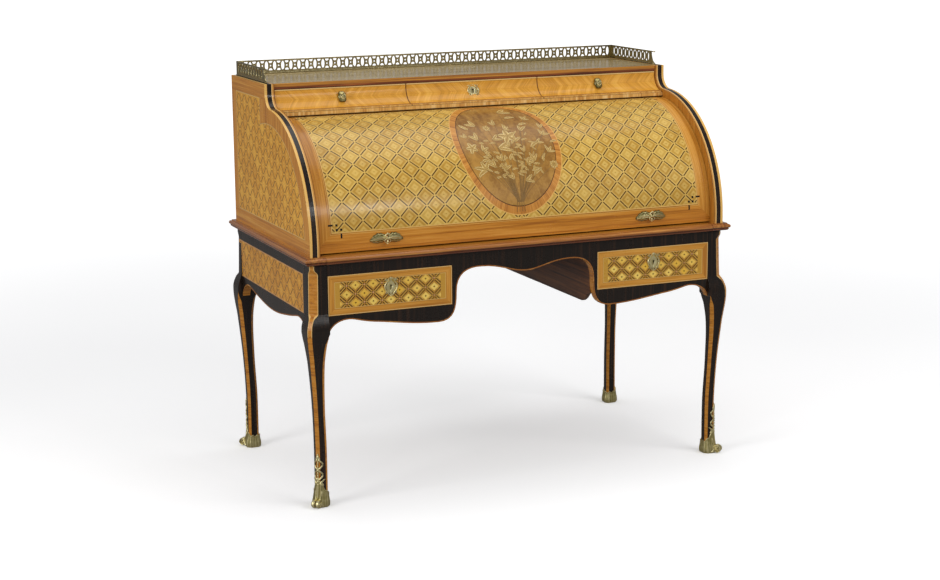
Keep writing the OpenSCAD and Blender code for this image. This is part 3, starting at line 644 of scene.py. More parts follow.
apron_top = 699 * mm
apron_end_x, apron_end_y = 606.5 * mm, 302.5 * mm
apron_finish, bench, shader = new_finish("apron_veneer", Coat_Weight=0.08, Coat_Roughness=0.18,
                                         Specular_IOR_Level=0.25)
x, y, z = bench.spot()
nx, ny, nz = bench.facing()
black, tone = veneer_colour(bench, z, x, y, 130.0, black_streak, black_ground, black_ground)
tan = veneer_colour(bench, y, x, z, 70.0, banding_pale, tulip_mid, banding_deep)[0]
under_edge = ny.size().under(0.5) * z.under(apron_top) * x.size().under(apron_end_x)
bench.feed(shader.inputs["Base Color"], bench.mix(under_edge, black, tan))
polish(bench, shader, x, y, z, 0.27, tone)
dress(apron_finish, "front_apron", "back_apron")

side_finish, bench, shader = new_finish("side_apron_veneer", Coat_Weight=0.08, Coat_Roughness=0.18,
                                        Specular_IOR_Level=0.25)
x, y, z = bench.spot()
nx, ny, nz = bench.facing()
black, tone = veneer_colour(bench, z, y, x, 130.0, black_streak, black_ground, black_ground)
tan = veneer_colour(bench, x, y, z, 70.0, banding_pale, tulip_mid, banding_deep)[0]
under_edge = nx.size().under(0.5) * z.under(apron_top) * y.size().under(apron_end_y)
bench.feed(shader.inputs["Base Color"], bench.mix(under_edge, black, tan))
polish(bench, shader, x, y, z, 0.27, tone)
dress(side_finish, "side_apron_left", "side_apron_right")


def lower_edge(node, axis, face):
    """The lower outline of a board, read from the edge of its front or outer face, in order."""
    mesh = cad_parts[node].data
    seen = {}
    for polygon in mesh.polygons:
        corners = [mesh.vertices[i].co for i in polygon.vertices]
        if all(abs(c[axis] - face) < 1e-5 for c in corners):
            spots = [(round(c[1 - axis], 5), round(c[2], 5)) for c in corners]
            for pair in zip(spots, spots[1:] + spots[:1]):
                key = tuple(sorted(pair))
                seen[key] = seen.get(key, 0) + 1
    links = {}
    for (a, b), count in seen.items():
        if count == 1:
            links.setdefault(a, []).append(b)
            links.setdefault(b, []).append(a)
    here = min(links, key=lambda p: (p[0], p[1]))
    chain = [here]
    last = max(p[0] for p in links)
    before = None
    while abs(here[0] - last) > 1e-5:
        onward = [p for p in links[here] if p != before]
        onward.sort(key=lambda p: (p[1] > 0.68, p[0] == here[0] and before is None, -p[0]))
        before, here = here, onward[0]
        chain.append(here)
    return [Vector(p) for p in chain]


def edge_line(chain, axis, face, inset, width):
    """A thin raised string that follows a lower outline, inset from it."""
    out = 1 if face > 0 else -1
    rings = []
    for i, here in enumerate(chain):
        ahead = (chain[min(i + 1, len(chain) - 1)] - chain[max(i - 1, 0)]).normalized()
        inward = Vector((-ahead.y, ahead.x))
        near = here + inward * inset
        far = here + inward * (inset + width)
        ring = []
        for spot, lift in ((near, 0.0), (near, 0.3 * mm), (far, 0.3 * mm), (far, 0.0)):
            proud = face + out * lift
            ring.append(Vector((proud, spot.x, spot.y) if axis == 0 else (spot.x, proud, spot.y)))
        rings.append(ring)
    return skin(rings)


line_finish, bench, shader = new_finish("edge_string", Coat_Weight=0.12, Coat_Roughness=0.2,
                                        Specular_IOR_Level=0.3)
x, y, z = bench.spot()
tan, tone = veneer_colour(bench, x + y, z, x * 0.1, 60.0, banding_pale, banding_deep, banding_deep)
bench.feed(shader.inputs["Base Color"], tan)
polish(bench, shader, x, y, z, 0.32, tone)
for node, axis, name in (("front_apron", 1, "front"), ("side_apron_left", 0, "left"),
                         ("side_apron_right", 0, "right")):
    low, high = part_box(node)
    face = high.x if name == "right" else low[axis]
    points, faces = edge_line(lower_edge(node, axis, face), axis, face, 0.4 * mm, 3.2 * mm)
    add_piece("apron_string_" + name, points, faces, "carcase", line_finish, smooth=False)

panel_finish, bench, shader = new_finish("side_parquetry", Coat_Weight=0.12, Coat_Roughness=0.16,
                                         Specular_IOR_Level=0.3)
x, y, z = bench.spot()
panel_y0, panel_y1, panel_z0, panel_z1 = -284 * mm, 327 * mm, 553.5 * mm, 666 * mm
middle_row_z = 609.7 * mm
inlay, cut = parquetry(bench, y / lozenge_wide, (z - middle_row_z) / lozenge_tall, x, y, z, 3.0, 0.06,
                       (srgb("#e6a93c"), srgb("#cf8b20"), srgb("#ae6e16"), srgb("#855010")))
edge = (y - panel_y0).least(y * -1.0 + panel_y1).least(z - panel_z0).least(z * -1.0 + panel_z1)
inlay = bench.mix(edge.under(3.2 * mm), inlay, srgb("#c9945c"))
bench.feed(shader.inputs["Base Color"], inlay)
polish(bench, shader, x, y, z, 0.26, cut)
for s, name in ((-1, "left"), (1, "right")):
    base = s * case_side
    rings = []
    for inset, lift in ((0.0, 0.0), (0.0, 0.2 * mm), (0.15 * mm, 0.35 * mm)):
        ring = [(panel_y0 + inset, panel_z0 + inset), (panel_y1 - inset, panel_z0 + inset),
                (panel_y1 - inset, panel_z1 - inset), (panel_y0 + inset, panel_z1 - inset)]
        rings.append([Vector((base + s * lift, y, z)) for y, z in (ring if s > 0 else reversed(ring))])
    points, faces = skin(rings)
    add_piece("side_parquetry_panel_" + name, points, faces, "carcase", panel_finish,
              smooth=False)

# ---- Kneehole and inside of the carcase --------------------------------------
# Oak boards: the sides of the kneehole, painted a darker brown as shade where they show, the drawer
# runners and the dust board. Planed, butted and nailed, and left without polish inside.
oak_light = srgb("#c79c66")
oak_mid = srgb("#a87a47")
oak_dark = srgb("#6f4a27")


# Pale flecks of the rays in quartered oak
bench, (along, across, deep), sink = new_group("oak_rays", ["Along", "Across", "Deep"], ["Rays"])
flecks = bench.noise(bench.point(along * 30, across * 90, deep * 90), detail=2, wander=2.0)
bench.feed(sink.inputs["Rays"], flecks.soft(0.62, 0.7) * 0.3)
oak_rays = bench.tree


def oak_finish(name, light, mid, dark, along, dull=0.62):
    """Quartered oak with open pores; along is the axis the grain runs on, 0, 1 or 2."""
    material, bench, shader = new_finish(name)
    spot = bench.spot()
    x, y, z = spot
    grain = spot[along]
    across = spot[(along + 1) % 3]
    deep = spot[(along + 2) % 3]
    colour, tone = veneer_colour(bench, grain, across, deep, 60.0, light, mid, dark)
    rays = bench.place(oak_rays, {"Along": grain, "Across": across, "Deep": deep})["Rays"]
    bench.feed(shader.inputs["Base Color"], bench.mix(rays, colour, light))
    polish(bench, shader, x, y, z, dull, tone, 0.00012)
    return material


# painted shade: the kneehole boards take darker oak colours than the bare oak, for the shade under the desk
shade_darkened_oak = oak_finish("shade_darkened_oak", srgb("#8a5a35"), srgb("#6e4427"), srgb("#43281a"), 1, 0.42)
bare_oak = oak_finish("bare_oak", oak_light, oak_mid, oak_dark, 1)
bare_oak_level = oak_finish("bare_oak_level", oak_light, oak_mid, oak_dark, 0)
for name in ("left", "right"):
    low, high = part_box("kneehole_side_" + name)
    outline = [Vector((0, high.y, high.z)), Vector((0, low.y, high.z))]
    for i in range(41):
        place = low.y + (high.y - low.y) * i / 40
        rise = math.cos(min(1.0, min(place - low.y, high.y - place) / (52 * mm)) * math.pi / 2)
        outline.append(Vector((0, place, low.z + 33 * mm * rise ** 2)))
    middle = sum(outline, Vector()) / len(outline)
    rings = []
    for x, ease in ((low.x, 0.6), (low.x + 0.6 * mm, 0), (high.x - 0.6 * mm, 0), (high.x, 0.6)):
        ring = [p + (middle - p).normalized() * ease * mm for p in outline]
        rings.append([Vector((x, p.y, p.z)) for p in ring])
    points, faces = skin(rings)
    add_piece("kneehole_board_" + name, points, faces, "carcase", shade_darkened_oak,
              ["kneehole_side_" + name], smooth=False)
dress(bare_oak, "drawer_runners")
dress(bare_oak_level, "carcase_top_board")

# ---- Lower drawers ------------------------------------------------------------
# Two drawers of oak with fronts veneered in lozenges inside a mitred tulipwood border.
# Each has an iron lock behind a bronze key plate, pinned on a little above the middle.
front_low, front_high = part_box("lower_drawer_front_right")
drawer_x = (front_low.x + front_high.x) / 2
drawer_z = (front_low.z + front_high.z) / 2
half_wide = (front_high.x - front_low.x) / 2
half_tall = (front_high.z - front_low.z) / 2

drawer_finish, bench, shader = new_finish("lower_drawer_marquetry", Coat_Weight=0.12, Coat_Roughness=0.14,
                                          Specular_IOR_Level=0.3)
x, y, z = bench.spot()
nx, ny, nz = bench.facing()
u = x.size() - drawer_x
v = z - drawer_z
cell = bench.place(lozenges, {"U": u / (52.8 * mm) + 0.5, "V": v / (50 * mm), "Seed": 7.0})
edge = cell["Edge"]
hair = bench.noise(bench.point(x * 300, y * 300, z * 300), detail=3, roughness=0.7)
# partly painted sheen: Way lightens two opposite quarters of the ground as if their grain caught more light;
# the hair is the wood's own figure
ground = bench.mix((hair * 0.6 + cell["Way"] * 0.4).soft(0.2, 0.8), srgb("#c08a33"), srgb("#d3a54a"))
field = bench.mix(edge.soft(0.25, 0.27), ground, bench.mix(cell["Cell"], srgb("#e2b23c"), srgb("#f0cf6a")))
field = bench.mix(edge.between(0.155, 0.172), field, srgb("#a87530"))
field = bench.mix(edge.over(0.445), field, srgb("#6b4312"))
lines_run = cell["Cross"].over(0.15)
field = bench.mix(edge.between(0.05, 0.125) * lines_run, field, srgb("#2c180a"))
field = bench.mix(edge.under(0.055) * cell["Cross"].between(0.06, 0.14), field, srgb("#57330f"))
field = bench.mix(cell["Cross"].under(0.06), field, srgb("#dba56a"))
border_x = u.size() * -1.0 + half_wide
border_z = v.size() * -1.0 + half_tall
edge_in = border_x.least(border_z)
border_tones = srgb("#dba14a"), srgb("#cb8c35"), srgb("#ab6e27")
level, level_tone = veneer_colour(bench, x, z, y, 90.0, *border_tones)
upright = veneer_colour(bench, z, x, y, 90.0, *border_tones)[0]
border = bench.mix(border_x.under(border_z), level, upright)
margin = bench.mix(hair, srgb("#bd8a30"), srgb("#cc9d42"))
field = bench.mix(u.size().over(152 * mm).most(v.size().over(37.5 * mm)), field, margin)
front = bench.mix(edge_in.over(18 * mm), border, field)
front = bench.mix(edge_in.between(17 * mm, 18.6 * mm), front, srgb("#b0762f"))
front = bench.mix(edge_in.between(18.6 * mm, 20 * mm), front, srgb("#dcb567"))
front = bench.mix(edge_in.under(2.4 * mm), front, string_pale)
front = bench.mix((edge_in - 2.6 * mm).size().under(0.35 * mm), front, tulip_dark)
oak_side = veneer_colour(bench, y, x, z, 60.0, oak_light, oak_mid, oak_dark)[0]
bench.feed(shader.inputs["Base Color"], bench.mix(ny.under(-0.9), oak_side, front))
polish(bench, shader, x, y, z, 0.25, level_tone * 0.5 + edge.under(0.06) * 0.5)
for name in ("left", "right"):
    dress(drawer_finish, "lower_drawer_front_" + name)
    dress(bare_oak, "lower_drawer_box_" + name)

iron_finish, bench, shader = new_finish("lock_iron", Metallic=0.85)
x, y, z = bench.spot()
rust = bench.noise(bench.point(x * 180, y * 180, z * 180), detail=5, roughness=0.7)
bench.feed(shader.inputs["Base Color"], bench.mix(rust.soft(0.45, 0.68), srgb("#1f1d1b"), srgb("#2e1e13")))
bench.feed(shader.inputs["Roughness"], rust * 0.4 + 0.3)
raise_surface(bench, shader, rust, 0.0002)
dress(iron_finish, "lower_lock_left", "lower_lock_right")


def key_plate(width, height):
    """A shield with a scrolled frame round a keyhole; x across, y out of the wood, z up, in mm."""
    plate = Casting()
    count = 48
    outer = []
    hole = []
    for k in range(count):
        turn = 2 * math.pi * k / count + math.pi / 2
        c, s = math.cos(turn), math.sin(turn)
        swell = 1 + 0.07 * math.cos(4 * turn) + 0.05 * math.cos(8 * turn)
        outer.append((width * 0.36 * c * swell, height * 0.36 * s * swell - height * 0.02))
        lobe = 3.5 if s > -0.25 else 1.7 / max(abs(c), 0.28)
        rise = lobe * s + 1.6 if s > -0.25 else max(-7.0, lobe * s * 1.6 + 1.2)
        hole.append((lobe * c, rise))
    rings = [[Vector((x, 0.05, z)) for x, z in outer], [Vector((x, 1.3, z)) for x, z in outer],
             [Vector((x * 0.93, 1.8, z * 0.93)) for x, z in outer], [Vector((x, 1.5, z)) for x, z in hole],
             [Vector((x, 0.05, z)) for x, z in hole]]
    rings = [list(reversed(ring)) for ring in rings]
    plate.add(*skin(rings, closed_ends=False))
    for s in (-1, 1):
        frame_path = []
        for i in range(23):
            turn = math.radians(78 - 7.4 * i)
            pulse = 1 + 0.09 * math.cos(4 * turn)
            across = s * width * 0.45 * math.cos(turn) * pulse
            frame_path.append((across, 1.9, height * 0.44 * math.sin(turn) * pulse))
        plate.rod(frame_path, [1.2 + 1.0 * math.sin(math.pi * (i + 1) / 24) for i in range(23)], 1.1)
        for wide, high, big in ((0.4, 0.36, 1.0), (0.36, -0.3, 0.9), (0.46, 0.02, 0.7)):
            curl = []
            for i in range(15):
                turn = math.radians(200 - 36 * i)
                radius = big * width * 0.1 * (1 - 0.045 * i)
                across = s * (width * wide + radius * math.cos(turn))
                curl.append((across, 2.3, height * high + radius * math.sin(turn)))
            plate.rod(curl, [1.1 - 0.03 * i for i in range(15)], 1.2)
    for rise, tilt in ((0.5, 0), (0.46, 24), (0.46, -24)):
        lean = math.radians(tilt)
        reaches = (0, 2.5, 5, 7.5, height * rise * 0.38)
        leaf = [(math.sin(lean) * r, 2.0, height * 0.36 + math.cos(lean) * r) for r in reaches]
        plate.rod(leaf, [1.6, 2.1, 1.9, 1.2, 0.4], 0.8)
    for x, z, r in ((0, -0.45, 1.9), (0, -0.5, 1.3), (0.13, -0.43, 1.3), (-0.13, -0.43, 1.3)):
        plate.ball((x * width, 1.8, z * height), (r, r * 0.8, r))
    return plate


def on_front(x, y, z, turn=0.0):
    """Placing matrix of a mount on an upright face that looks to the front, tipped back by turn."""
    upright = Matrix.Rotation(math.pi, 4, "Z") @ Matrix.Scale(mm, 4)
    return Matrix.Translation((x, y, z)) @ Matrix.Rotation(turn, 4, "X") @ upright


def keyhole_shadow_pad():
    """A dark iron-coloured pad under the hole of a key plate: painted shadow that stands for the shade inside
    the keyhole.
    """
    face = Casting()
    face.pad(lambda t, k: (8 * t - 4, 0.6 - 0.4 * (2 * k - 1) ** 2, 7.0 - 17.0 * k),
             lambda t, k: (8 * t - 4, 0.02, 7.0 - 17.0 * k), 4, 6)
    return face


for name in ("left", "right"):
    low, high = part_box("lower_escutcheon_" + name)
    plate = key_plate((high.x - low.x) / mm, (high.z - low.z) / mm)
    turn = on_front((low.x + high.x) / 2, front_low.y, (low.z + high.z) / 2)
    add_piece("key_plate_lower_" + name, plate.placed(turn), plate.faces, "lower_drawer_" + name,
              bronze_finish, ["lower_escutcheon_" + name])
    # painted shadow: a dark pad behind the key plate's hole for the shade inside the keyhole
    face = keyhole_shadow_pad()
    add_piece("lock_face_lower_" + name, face.placed(turn), face.faces, "lower_drawer_" + name,
              iron_finish)

# ---- Writing-level moulding and slide -----------------------------------------
# A moulding of tulipwood and kingwood runs round the carcase at the writing level. Its front belongs
# to the writing slide, a frame with a red-brown leather tooled with a gilt line, which pulls out.
red_mid = srgb("#8e5022")
red_dark = srgb("#4e2712")
woods_meet = 709.3 * mm

# Two woods stacked in the moulding: orange bead above, dark red below, with painted shade in the hollow under
# it
bench, (along, across, z, hollow_darkening), sink = new_group(
    "stacked_woods", ["Along", "Across", "Z", "Painted_Shade_Under"], ["Colour", "Tone"], ["Colour"])
orange, tone = veneer_colour(bench, along, across, z, 110.0, srgb("#c98a3e"), srgb("#a06126"),
                             srgb("#80481c"))
red = veneer_colour(bench, along, across, z, 110.0, red_mid, srgb("#71391a"), red_dark)[0]
colour = bench.mix(z.soft(woods_meet - 0.8 * mm, woods_meet + 0.7 * mm), red, orange)
colour = bench.mix((z - woods_meet).size().under(0.7 * mm), colour, red_dark)
# painted shade: the hollow under the nosing, below 704 mm, darkened as far as the shade input asks
colour = bench.mix(z.soft(704 * mm, 700.5 * mm) * hollow_darkening, colour, srgb("#2b1710"))
bench.feed(sink.inputs["Colour"], colour)
bench.feed(sink.inputs["Tone"], tone)
stacked_woods = bench.tree


def moulding_finish(name, along):
    """The moulding's two woods, polished; along is the axis their grain runs on, 0 or 1."""
    material, bench, shader = new_finish(name, Coat_Weight=0.45, Coat_Roughness=0.12)
    spot = bench.spot()
    # painted shade under the nosing at 0.75; the slide below gets none
    woods = bench.place(stacked_woods,
                        {"Along": spot[along], "Across": spot[1 - along], "Z": spot[2], "Painted_Shade_Under": 0.75})
    bench.feed(shader.inputs["Base Color"], woods["Colour"])
    polish(bench, shader, *spot, 0.22, woods["Tone"])
    return material


dress(moulding_finish("side_moulding", 1), "top_moulding_left", "top_moulding_right")
dress(moulding_finish("back_moulding", 0), "top_moulding_back")

slide_finish, bench, shader = new_finish("writing_slide_veneer", Coat_Weight=0.45, Coat_Roughness=0.12)
x, y, z = bench.spot()
nx, ny, nz = bench.facing()
woods = bench.place(stacked_woods, {"Along": x, "Across": y, "Z": z, "Painted_Shade_Under": 0.0})
flat_top = veneer_colour(bench, x, y, z, 60.0, tulip_light, tulip_mid, tulip_dark)[0]
nosing_back = -346 * mm
behind_nosing = bench.mix(nz.over(0.5), srgb("#8a6237"), flat_top)
bench.feed(shader.inputs["Base Color"], bench.mix(y.over(nosing_back), woods["Colour"], behind_nosing))
polish(bench, shader, x, y, z, 0.22, woods["Tone"])
dress(slide_finish, "writing_slide")

leather_finish, bench, shader = new_finish("writing_leather_tooled", Coat_Weight=0.1, Coat_Roughness=0.4)
x, y, z = bench.spot()
leather_low, leather_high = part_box("writing_leather")
grain = bench.lay("ShaderNodeTexVoronoi", {"Vector": bench.point(x * 900, y * 900, z * 900)}, feature="F1")
clouds = bench.noise(bench.point(x * 6, y * 6, 0.0), detail=3)
wear = bench.noise(bench.point(x * 28, y * 28, 0.0), detail=4, roughness=0.7).soft(0.52, 0.72)
hide = bench.mix(clouds, srgb("#5a2517"), srgb("#6e3320"))
hide = bench.mix(wear * 0.5, hide, srgb("#8a5236"))
rim = (x.size() * -1.0 + leather_high.x).least(y - leather_low.y).least(y * -1.0 + leather_high.y)
tooling = (rim - 16 * mm).size().under(0.9 * mm).most((rim - 22 * mm).size().under(0.5 * mm))
hide = bench.mix(tooling * 0.85, hide, srgb("#b8934a"))
bench.feed(shader.inputs["Base Color"], hide)
bench.feed(shader.inputs["Roughness"], grain * 0.2 + wear * 0.15 + 0.42)
raise_surface(bench, shader, grain * 0.4 - tooling * 0.6, 0.0003)
dress(leather_finish, "writing_leather")

# ---- Ends -----------------------------------------------------------------------
# Two solid ends with a rounded outline, veneered outside with a parquetry field in a plain border.
# Their front edges show a dark band between two light strings.
end_low, end_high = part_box("end_right")
end_border = 45 * mm
axis = Vector((0, 2 * mm, 744 * mm))
fall_radius = 330 * mm
end_radius = 354 * mm


def about_axis(y, z):
    """Distance from the fall's axis, and the angle up from level at the front, for a spot."""
    forward = y * -1.0 + axis.y
    rise = z - axis.z
    away = (forward * forward + rise * rise).sum("SQRT")
    return away, rise.sum("ARCTAN2", forward)


end_finish, bench, shader = new_finish("end_marquetry", Coat_Weight=0.12, Coat_Roughness=0.14,
                                       Specular_IOR_Level=0.3)
x, y, z = bench.spot()
nx, ny, nz = bench.facing()
away = about_axis(y, z)[0]
inlay, cut = parquetry(bench, y / lozenge_wide, (z - 722 * mm) / lozenge_tall + 0.3, x, y, z, 5.0, 0.06,
                       (srgb("#f0b745"), srgb("#d99424"), srgb("#ba781a"), srgb("#8d5812")))
round_in = (away * -1.0 + (end_radius - end_border)).most(y - 75 * mm)
rim = round_in.least(y * -1.0 + (end_high.y - end_border)).least(z - (end_low.z + end_border))
rim = rim.least(z * -1.0 + (end_high.z - end_border))
upright, tone = veneer_colour(bench, z, y, x, 90.0, tulip_light, tulip_mid, tulip_dark)
level = veneer_colour(bench, y, z, x, 90.0, tulip_light, tulip_mid, tulip_dark)[0]
low_band = (z - end_low.z).under(end_border).most((z * -1.0 + end_high.z).under(end_border))
border = bench.mix(low_band, upright, level)
side = bench.mix(rim.over(0.0), border, inlay)
side = bench.mix(rim.between(-2.6 * mm, 0.0), side, srgb("#dcb063"))
side = bench.mix(rim.between(-3.3 * mm, -2.6 * mm), side, srgb("#8f5a20"))
across = x.size() - (case_side - 30 * mm)
black = veneer_colour(bench, z, x, y, 130.0, black_streak, black_ground, black_ground)[0]
front = bench.mix(across.over(22 * mm), black, srgb("#e6b765"))
front = bench.mix((across - 22 * mm).size().under(0.5 * mm), front, srgb("#7a4a1c"))
front = bench.mix(across.under(7.5 * mm), front, srgb("#c98f42"))
front = bench.mix((across - 7.4 * mm).size().under(1.1 * mm), front, srgb("#efc27c"))
front = bench.mix(across.under(2.0 * mm), front, srgb("#7a4a1c"))
is_side = (x * nx).over(0.3 * case_side)
inner = (x * nx).under(-0.3 * case_side)
colour = bench.mix(is_side, front, side)
colour = bench.mix(inner, colour, bench.mix(0.4, upright, srgb("#9a6427")))
bench.feed(shader.inputs["Base Color"], colour)
polish(bench, shader, x, y, z, 0.24, tone * 0.6 + cut * 0.4)
dress(end_finish, "end_left", "end_right")

# ---- Back and inside of the upper case ------------------------------------------
# The back panel, the floor behind the slide, the shelf under the frieze and its dividers, of oak.
# The shelf's front edge is veneered, and the floor inside is polished like the pigeonholes.
shelf_finish, bench, shader = new_finish("frieze_shelf_veneer", Coat_Weight=0.12, Coat_Roughness=0.14,
                                         Specular_IOR_Level=0.3)
x, y, z = bench.spot()
nx, ny, nz = bench.facing()
edge_wood, tone = veneer_colour(bench, z, x, y, 75.0, srgb("#f0cb8a"), srgb("#dca95a"), srgb("#b98040"))
# painted shadow: the lowest few mm of the shelf's front edge darkened for the shadow of the gap over the fall
edge_wood = bench.mix(z.soft(1078.5 * mm, 1076 * mm), edge_wood, srgb("#3a2312"))
inside = veneer_colour(bench, x, y, z, 60.0, oak_light, oak_mid, oak_dark)[0]
bench.feed(shader.inputs["Base Color"], bench.mix(ny.under(-0.4), inside, edge_wood))
polish(bench, shader, x, y, z, 0.3, tone)
dress(shelf_finish, "frieze_shelf")
honey_oak = srgb("#b98449"), srgb("#96622f"), srgb("#5d381b")
polished_oak = oak_finish("polished_oak", *honey_oak, 0, 0.34)
dress(polished_oak, "back_panel", "cabinet_floor")
dress(bare_oak, "frieze_dividers")

# ---- Pigeonholes -----------------------------------------------------------------
# A case of thin polished boards stands on the floor behind the fall, open in the middle.
# It holds two small drawers veneered like the frieze, each with a turned brass knob.
dress(polished_oak, "pigeonhole_case")
dress(oak_finish("pigeonhole_oak", *honey_oak, 1, 0.34), "pigeonhole_partitions")
small_finish, bench, shader = new_finish("small_drawer_veneer", Coat_Weight=0.12, Coat_Roughness=0.15,
                                         Specular_IOR_Level=0.3)
x, y, z = bench.spot()
nx, ny, nz = bench.facing()
small_low, small_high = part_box("small_drawer_right")
small_x = (small_low.x + small_high.x) / 2
u = x.size() - small_x
slope_along = u.size() * 0.7 + (z - (small_low.z + small_high.z) / 2).size() * 0.7
face, tone = veneer_colour(bench, slope_along, u.size() - z, y, 120.0, tulip_light, tulip_mid, tulip_dark)
rim = (u.size() * -1.0 + (small_high.x - small_x)).least(z - small_low.z).least(z * -1.0 + small_high.z)
face = bench.mix(rim.between(6 * mm, 7.5 * mm), face, srgb("#3c2415"))
face = bench.mix(rim.under(1.5 * mm), face, string_pale)
inside = veneer_colour(bench, y, x, z, 60.0, oak_light, oak_mid, oak_dark)[0]
bench.feed(shader.inputs["Base Color"], bench.mix(ny.under(-0.9), inside, face))
polish(bench, shader, x, y, z, 0.28, tone)
dress(small_finish, "small_drawer_left", "small_drawer_right")

brass_finish = gilt_finish("turned_brass", srgb("#d8bd74"), srgb("#a58c4c"), srgb("#54451f"), 0.00005)


def turned(profile, sides=24):
    """A turned knob from its profile of distance out and radius, in mm, along y."""
    knob = Casting()
    rings = []
    for out, radius in profile:
        turns = [-2 * math.pi * k / sides for k in range(sides)]
        rings.append([Vector((radius * math.cos(t), out, radius * math.sin(t))) for t in turns])
    knob.add(*skin(rings))
    return knob


for name in ("left", "right"):
    low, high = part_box("small_knob_" + name)
    reach = (high.y - low.y) / mm
    radius = (high.x - low.x) / 2 / mm
    shape = [(0.0, 0.62), (0.06, 0.66), (0.12, 0.6), (0.16, 0.36), (0.3, 0.3), (0.42, 0.42), (0.5, 0.75),
             (0.6, 0.95), (0.72, 1.0), (0.84, 0.9), (0.93, 0.62), (0.97, 0.4), (0.985, 0.2), (1.0, 0.03)]
    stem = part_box("small_drawer_" + name)[0].y
    knob = turned([((stem - low.y) / mm * out, radius * wide) for out, wide in shape])
    turn = on_front((low.x + high.x) / 2, stem, (low.z + high.z) / 2)
    add_piece("small_brass_knob_" + name, knob.placed(turn), knob.faces, "small_drawer_body_" + name,
              brass_finish, ["small_knob_" + name])

# ---- Pins and arms of the fall ----------------------------------------------------
# The fall hangs on two iron arms whose bosses turn on pins let into the ends. Forged and filed,
# screwed to the curved panel along their rims.
forged_finish, bench, shader = new_finish("forged_iron", Metallic=0.9)
x, y, z = bench.spot()
scale_marks = bench.noise(bench.point(x * 90, y * 90, z * 90), detail=5, roughness=0.65, wander=0.6)
bench.feed(shader.inputs["Base Color"],
           bench.mix(scale_marks.soft(0.4, 0.65), srgb("#3a3836"), srgb("#57504a")))
bench.feed(shader.inputs["Roughness"], scale_marks * 0.45 + 0.25)
raise_surface(bench, shader, scale_marks, 0.0004)
dress(forged_finish, "pivot_pins", "fall_arm_left", "fall_arm_right")

# ---- Fall ---------------------------------------------------------------------------
# The curved panel that closes the desk: staved and glued, veneered with rows of lozenges inside a
# plain border, with a small motif of black squares in each corner and an oval of flowers.
oval_rise, oval_wide, oval_tall = 273 * mm, 165 * mm, 227 * mm
field_x, field_low, field_high = 581 * mm, 38 * mm, 484 * mm

fall_finish, bench, shader = new_finish("fall_marquetry", Coat_Weight=0.12, Coat_Roughness=0.14,
                                        Specular_IOR_Level=0.3)
x, y, z = bench.spot()
away, angle = about_axis(y, z)
s = angle * fall_radius
u = (x.size() - 11.6 * mm) / lozenge_wide
v = (s - 67 * mm) / lozenge_tall
inlay, cut = parquetry(bench, u, v, x, s, away, 1.0, 0.04,
                       (srgb("#dcb75f"), srgb("#c2953c"), srgb("#a5782b"), srgb("#47290c")))
side_in = x.size() * -1.0 + field_x
foot_in = s - field_low
head_in = s * -1.0 + field_high
rim = side_in.least(foot_in).least(head_in)
up_grain, tone = veneer_colour(bench, s, x, away, 80.0, srgb("#dca14b"), srgb("#c68731"), srgb("#a3661f"))
level_grain = veneer_colour(bench, x, s, away, 80.0, srgb("#d99a42"), srgb("#c5812b"), srgb("#9f611f"))[0]
border = bench.mix(side_in.under(foot_in.least(head_in)), level_grain, up_grain)
face = bench.mix(rim.over(0.0), border, inlay)
face = bench.mix(rim.between(-2.2 * mm, 0.2 * mm), face, srgb("#dfb465"))
face = bench.mix(rim.between(-3.0 * mm, -2.2 * mm), face, srgb("#8e5a22"))
face = bench.mix(rim.between(-6.4 * mm, -5.0 * mm), face, srgb("#d9a957"))
middle = (s - (field_low + field_high) / 2).size()
corner_s = middle * -1.0 + (field_high - field_low) / 2 + field_low
for place_x, place_s, wide, tall in ((585, 59, 14, 5), (567, 58.5, 6.5, 6.5), (567, 45.5, 6.5, 6.5),
                                     (554, 45.5, 6.5, 6.5), (554, 28, 5, 14)):
    across = (x.size() - place_x * mm).size().under(wide / 2 * mm)
    along = (corner_s - place_s * mm).size().under(tall / 2 * mm)
    face = bench.mix(across * along, face, srgb("#14100c"))

across = x / oval_wide
rise = (s - oval_rise) / oval_tall
oval = (across * across + rise * rise).sum("SQRT")
bearing = rise.sum("ARCTAN2", across)
band = veneer_colour(bench, oval * 0.16, bearing * 0.19, away, 110.0,
                     srgb("#d79847"), srgb("#c38236"), srgb("#a1652a"))[0]
whirl = bench.noise(bench.point(x * 11, s * 5, 0.0), detail=5, roughness=0.6, wander=1.6)
burr = bench.noise(bench.point(x * 60, s * 60, 1.0), detail=4, roughness=0.7, wander=1.0)
figure = (whirl * 0.65 + burr * 0.45 + (s - 0.25) * -0.3).soft(0.32, 0.74)
brown = bench.mix(figure, srgb("#7d5220"), srgb("#b98a40"))
inner = oval - (1 - 17.5 / 160)
brown = bench.mix(inner.between(-0.012, 0.0), brown, srgb("#4a2b14"))
medallion = bench.mix(inner.over(0.0), brown, band)
medallion = bench.mix(oval.between(0.988, 1.0), medallion, srgb("#e0ad5c"))
face = bench.mix(oval.under(1.0), face, medallion)
oak_inside = veneer_colour(bench, x, s, away, 60.0, oak_light, oak_mid, oak_dark)[0]
outer = away.over(fall_radius - 0.7 * mm)
bench.feed(shader.inputs["Base Color"], bench.mix(outer, bench.mix(0.35, oak_inside, srgb("#7c4a22")), face))
polish(bench, shader, x, s, away, 0.24, tone * 0.5 + cut * 0.5)
dress(fall_finish, "fall_panel")


def on_fall(x, s, lift):
    """The place x mm across, s mm up the outer face of the fall and lift mm above it."""
    turn = s * mm / fall_radius
    away = fall_radius + lift * mm
    return Vector((x * mm, axis.y - away * math.cos(turn), axis.z + away * math.sin(turn)))


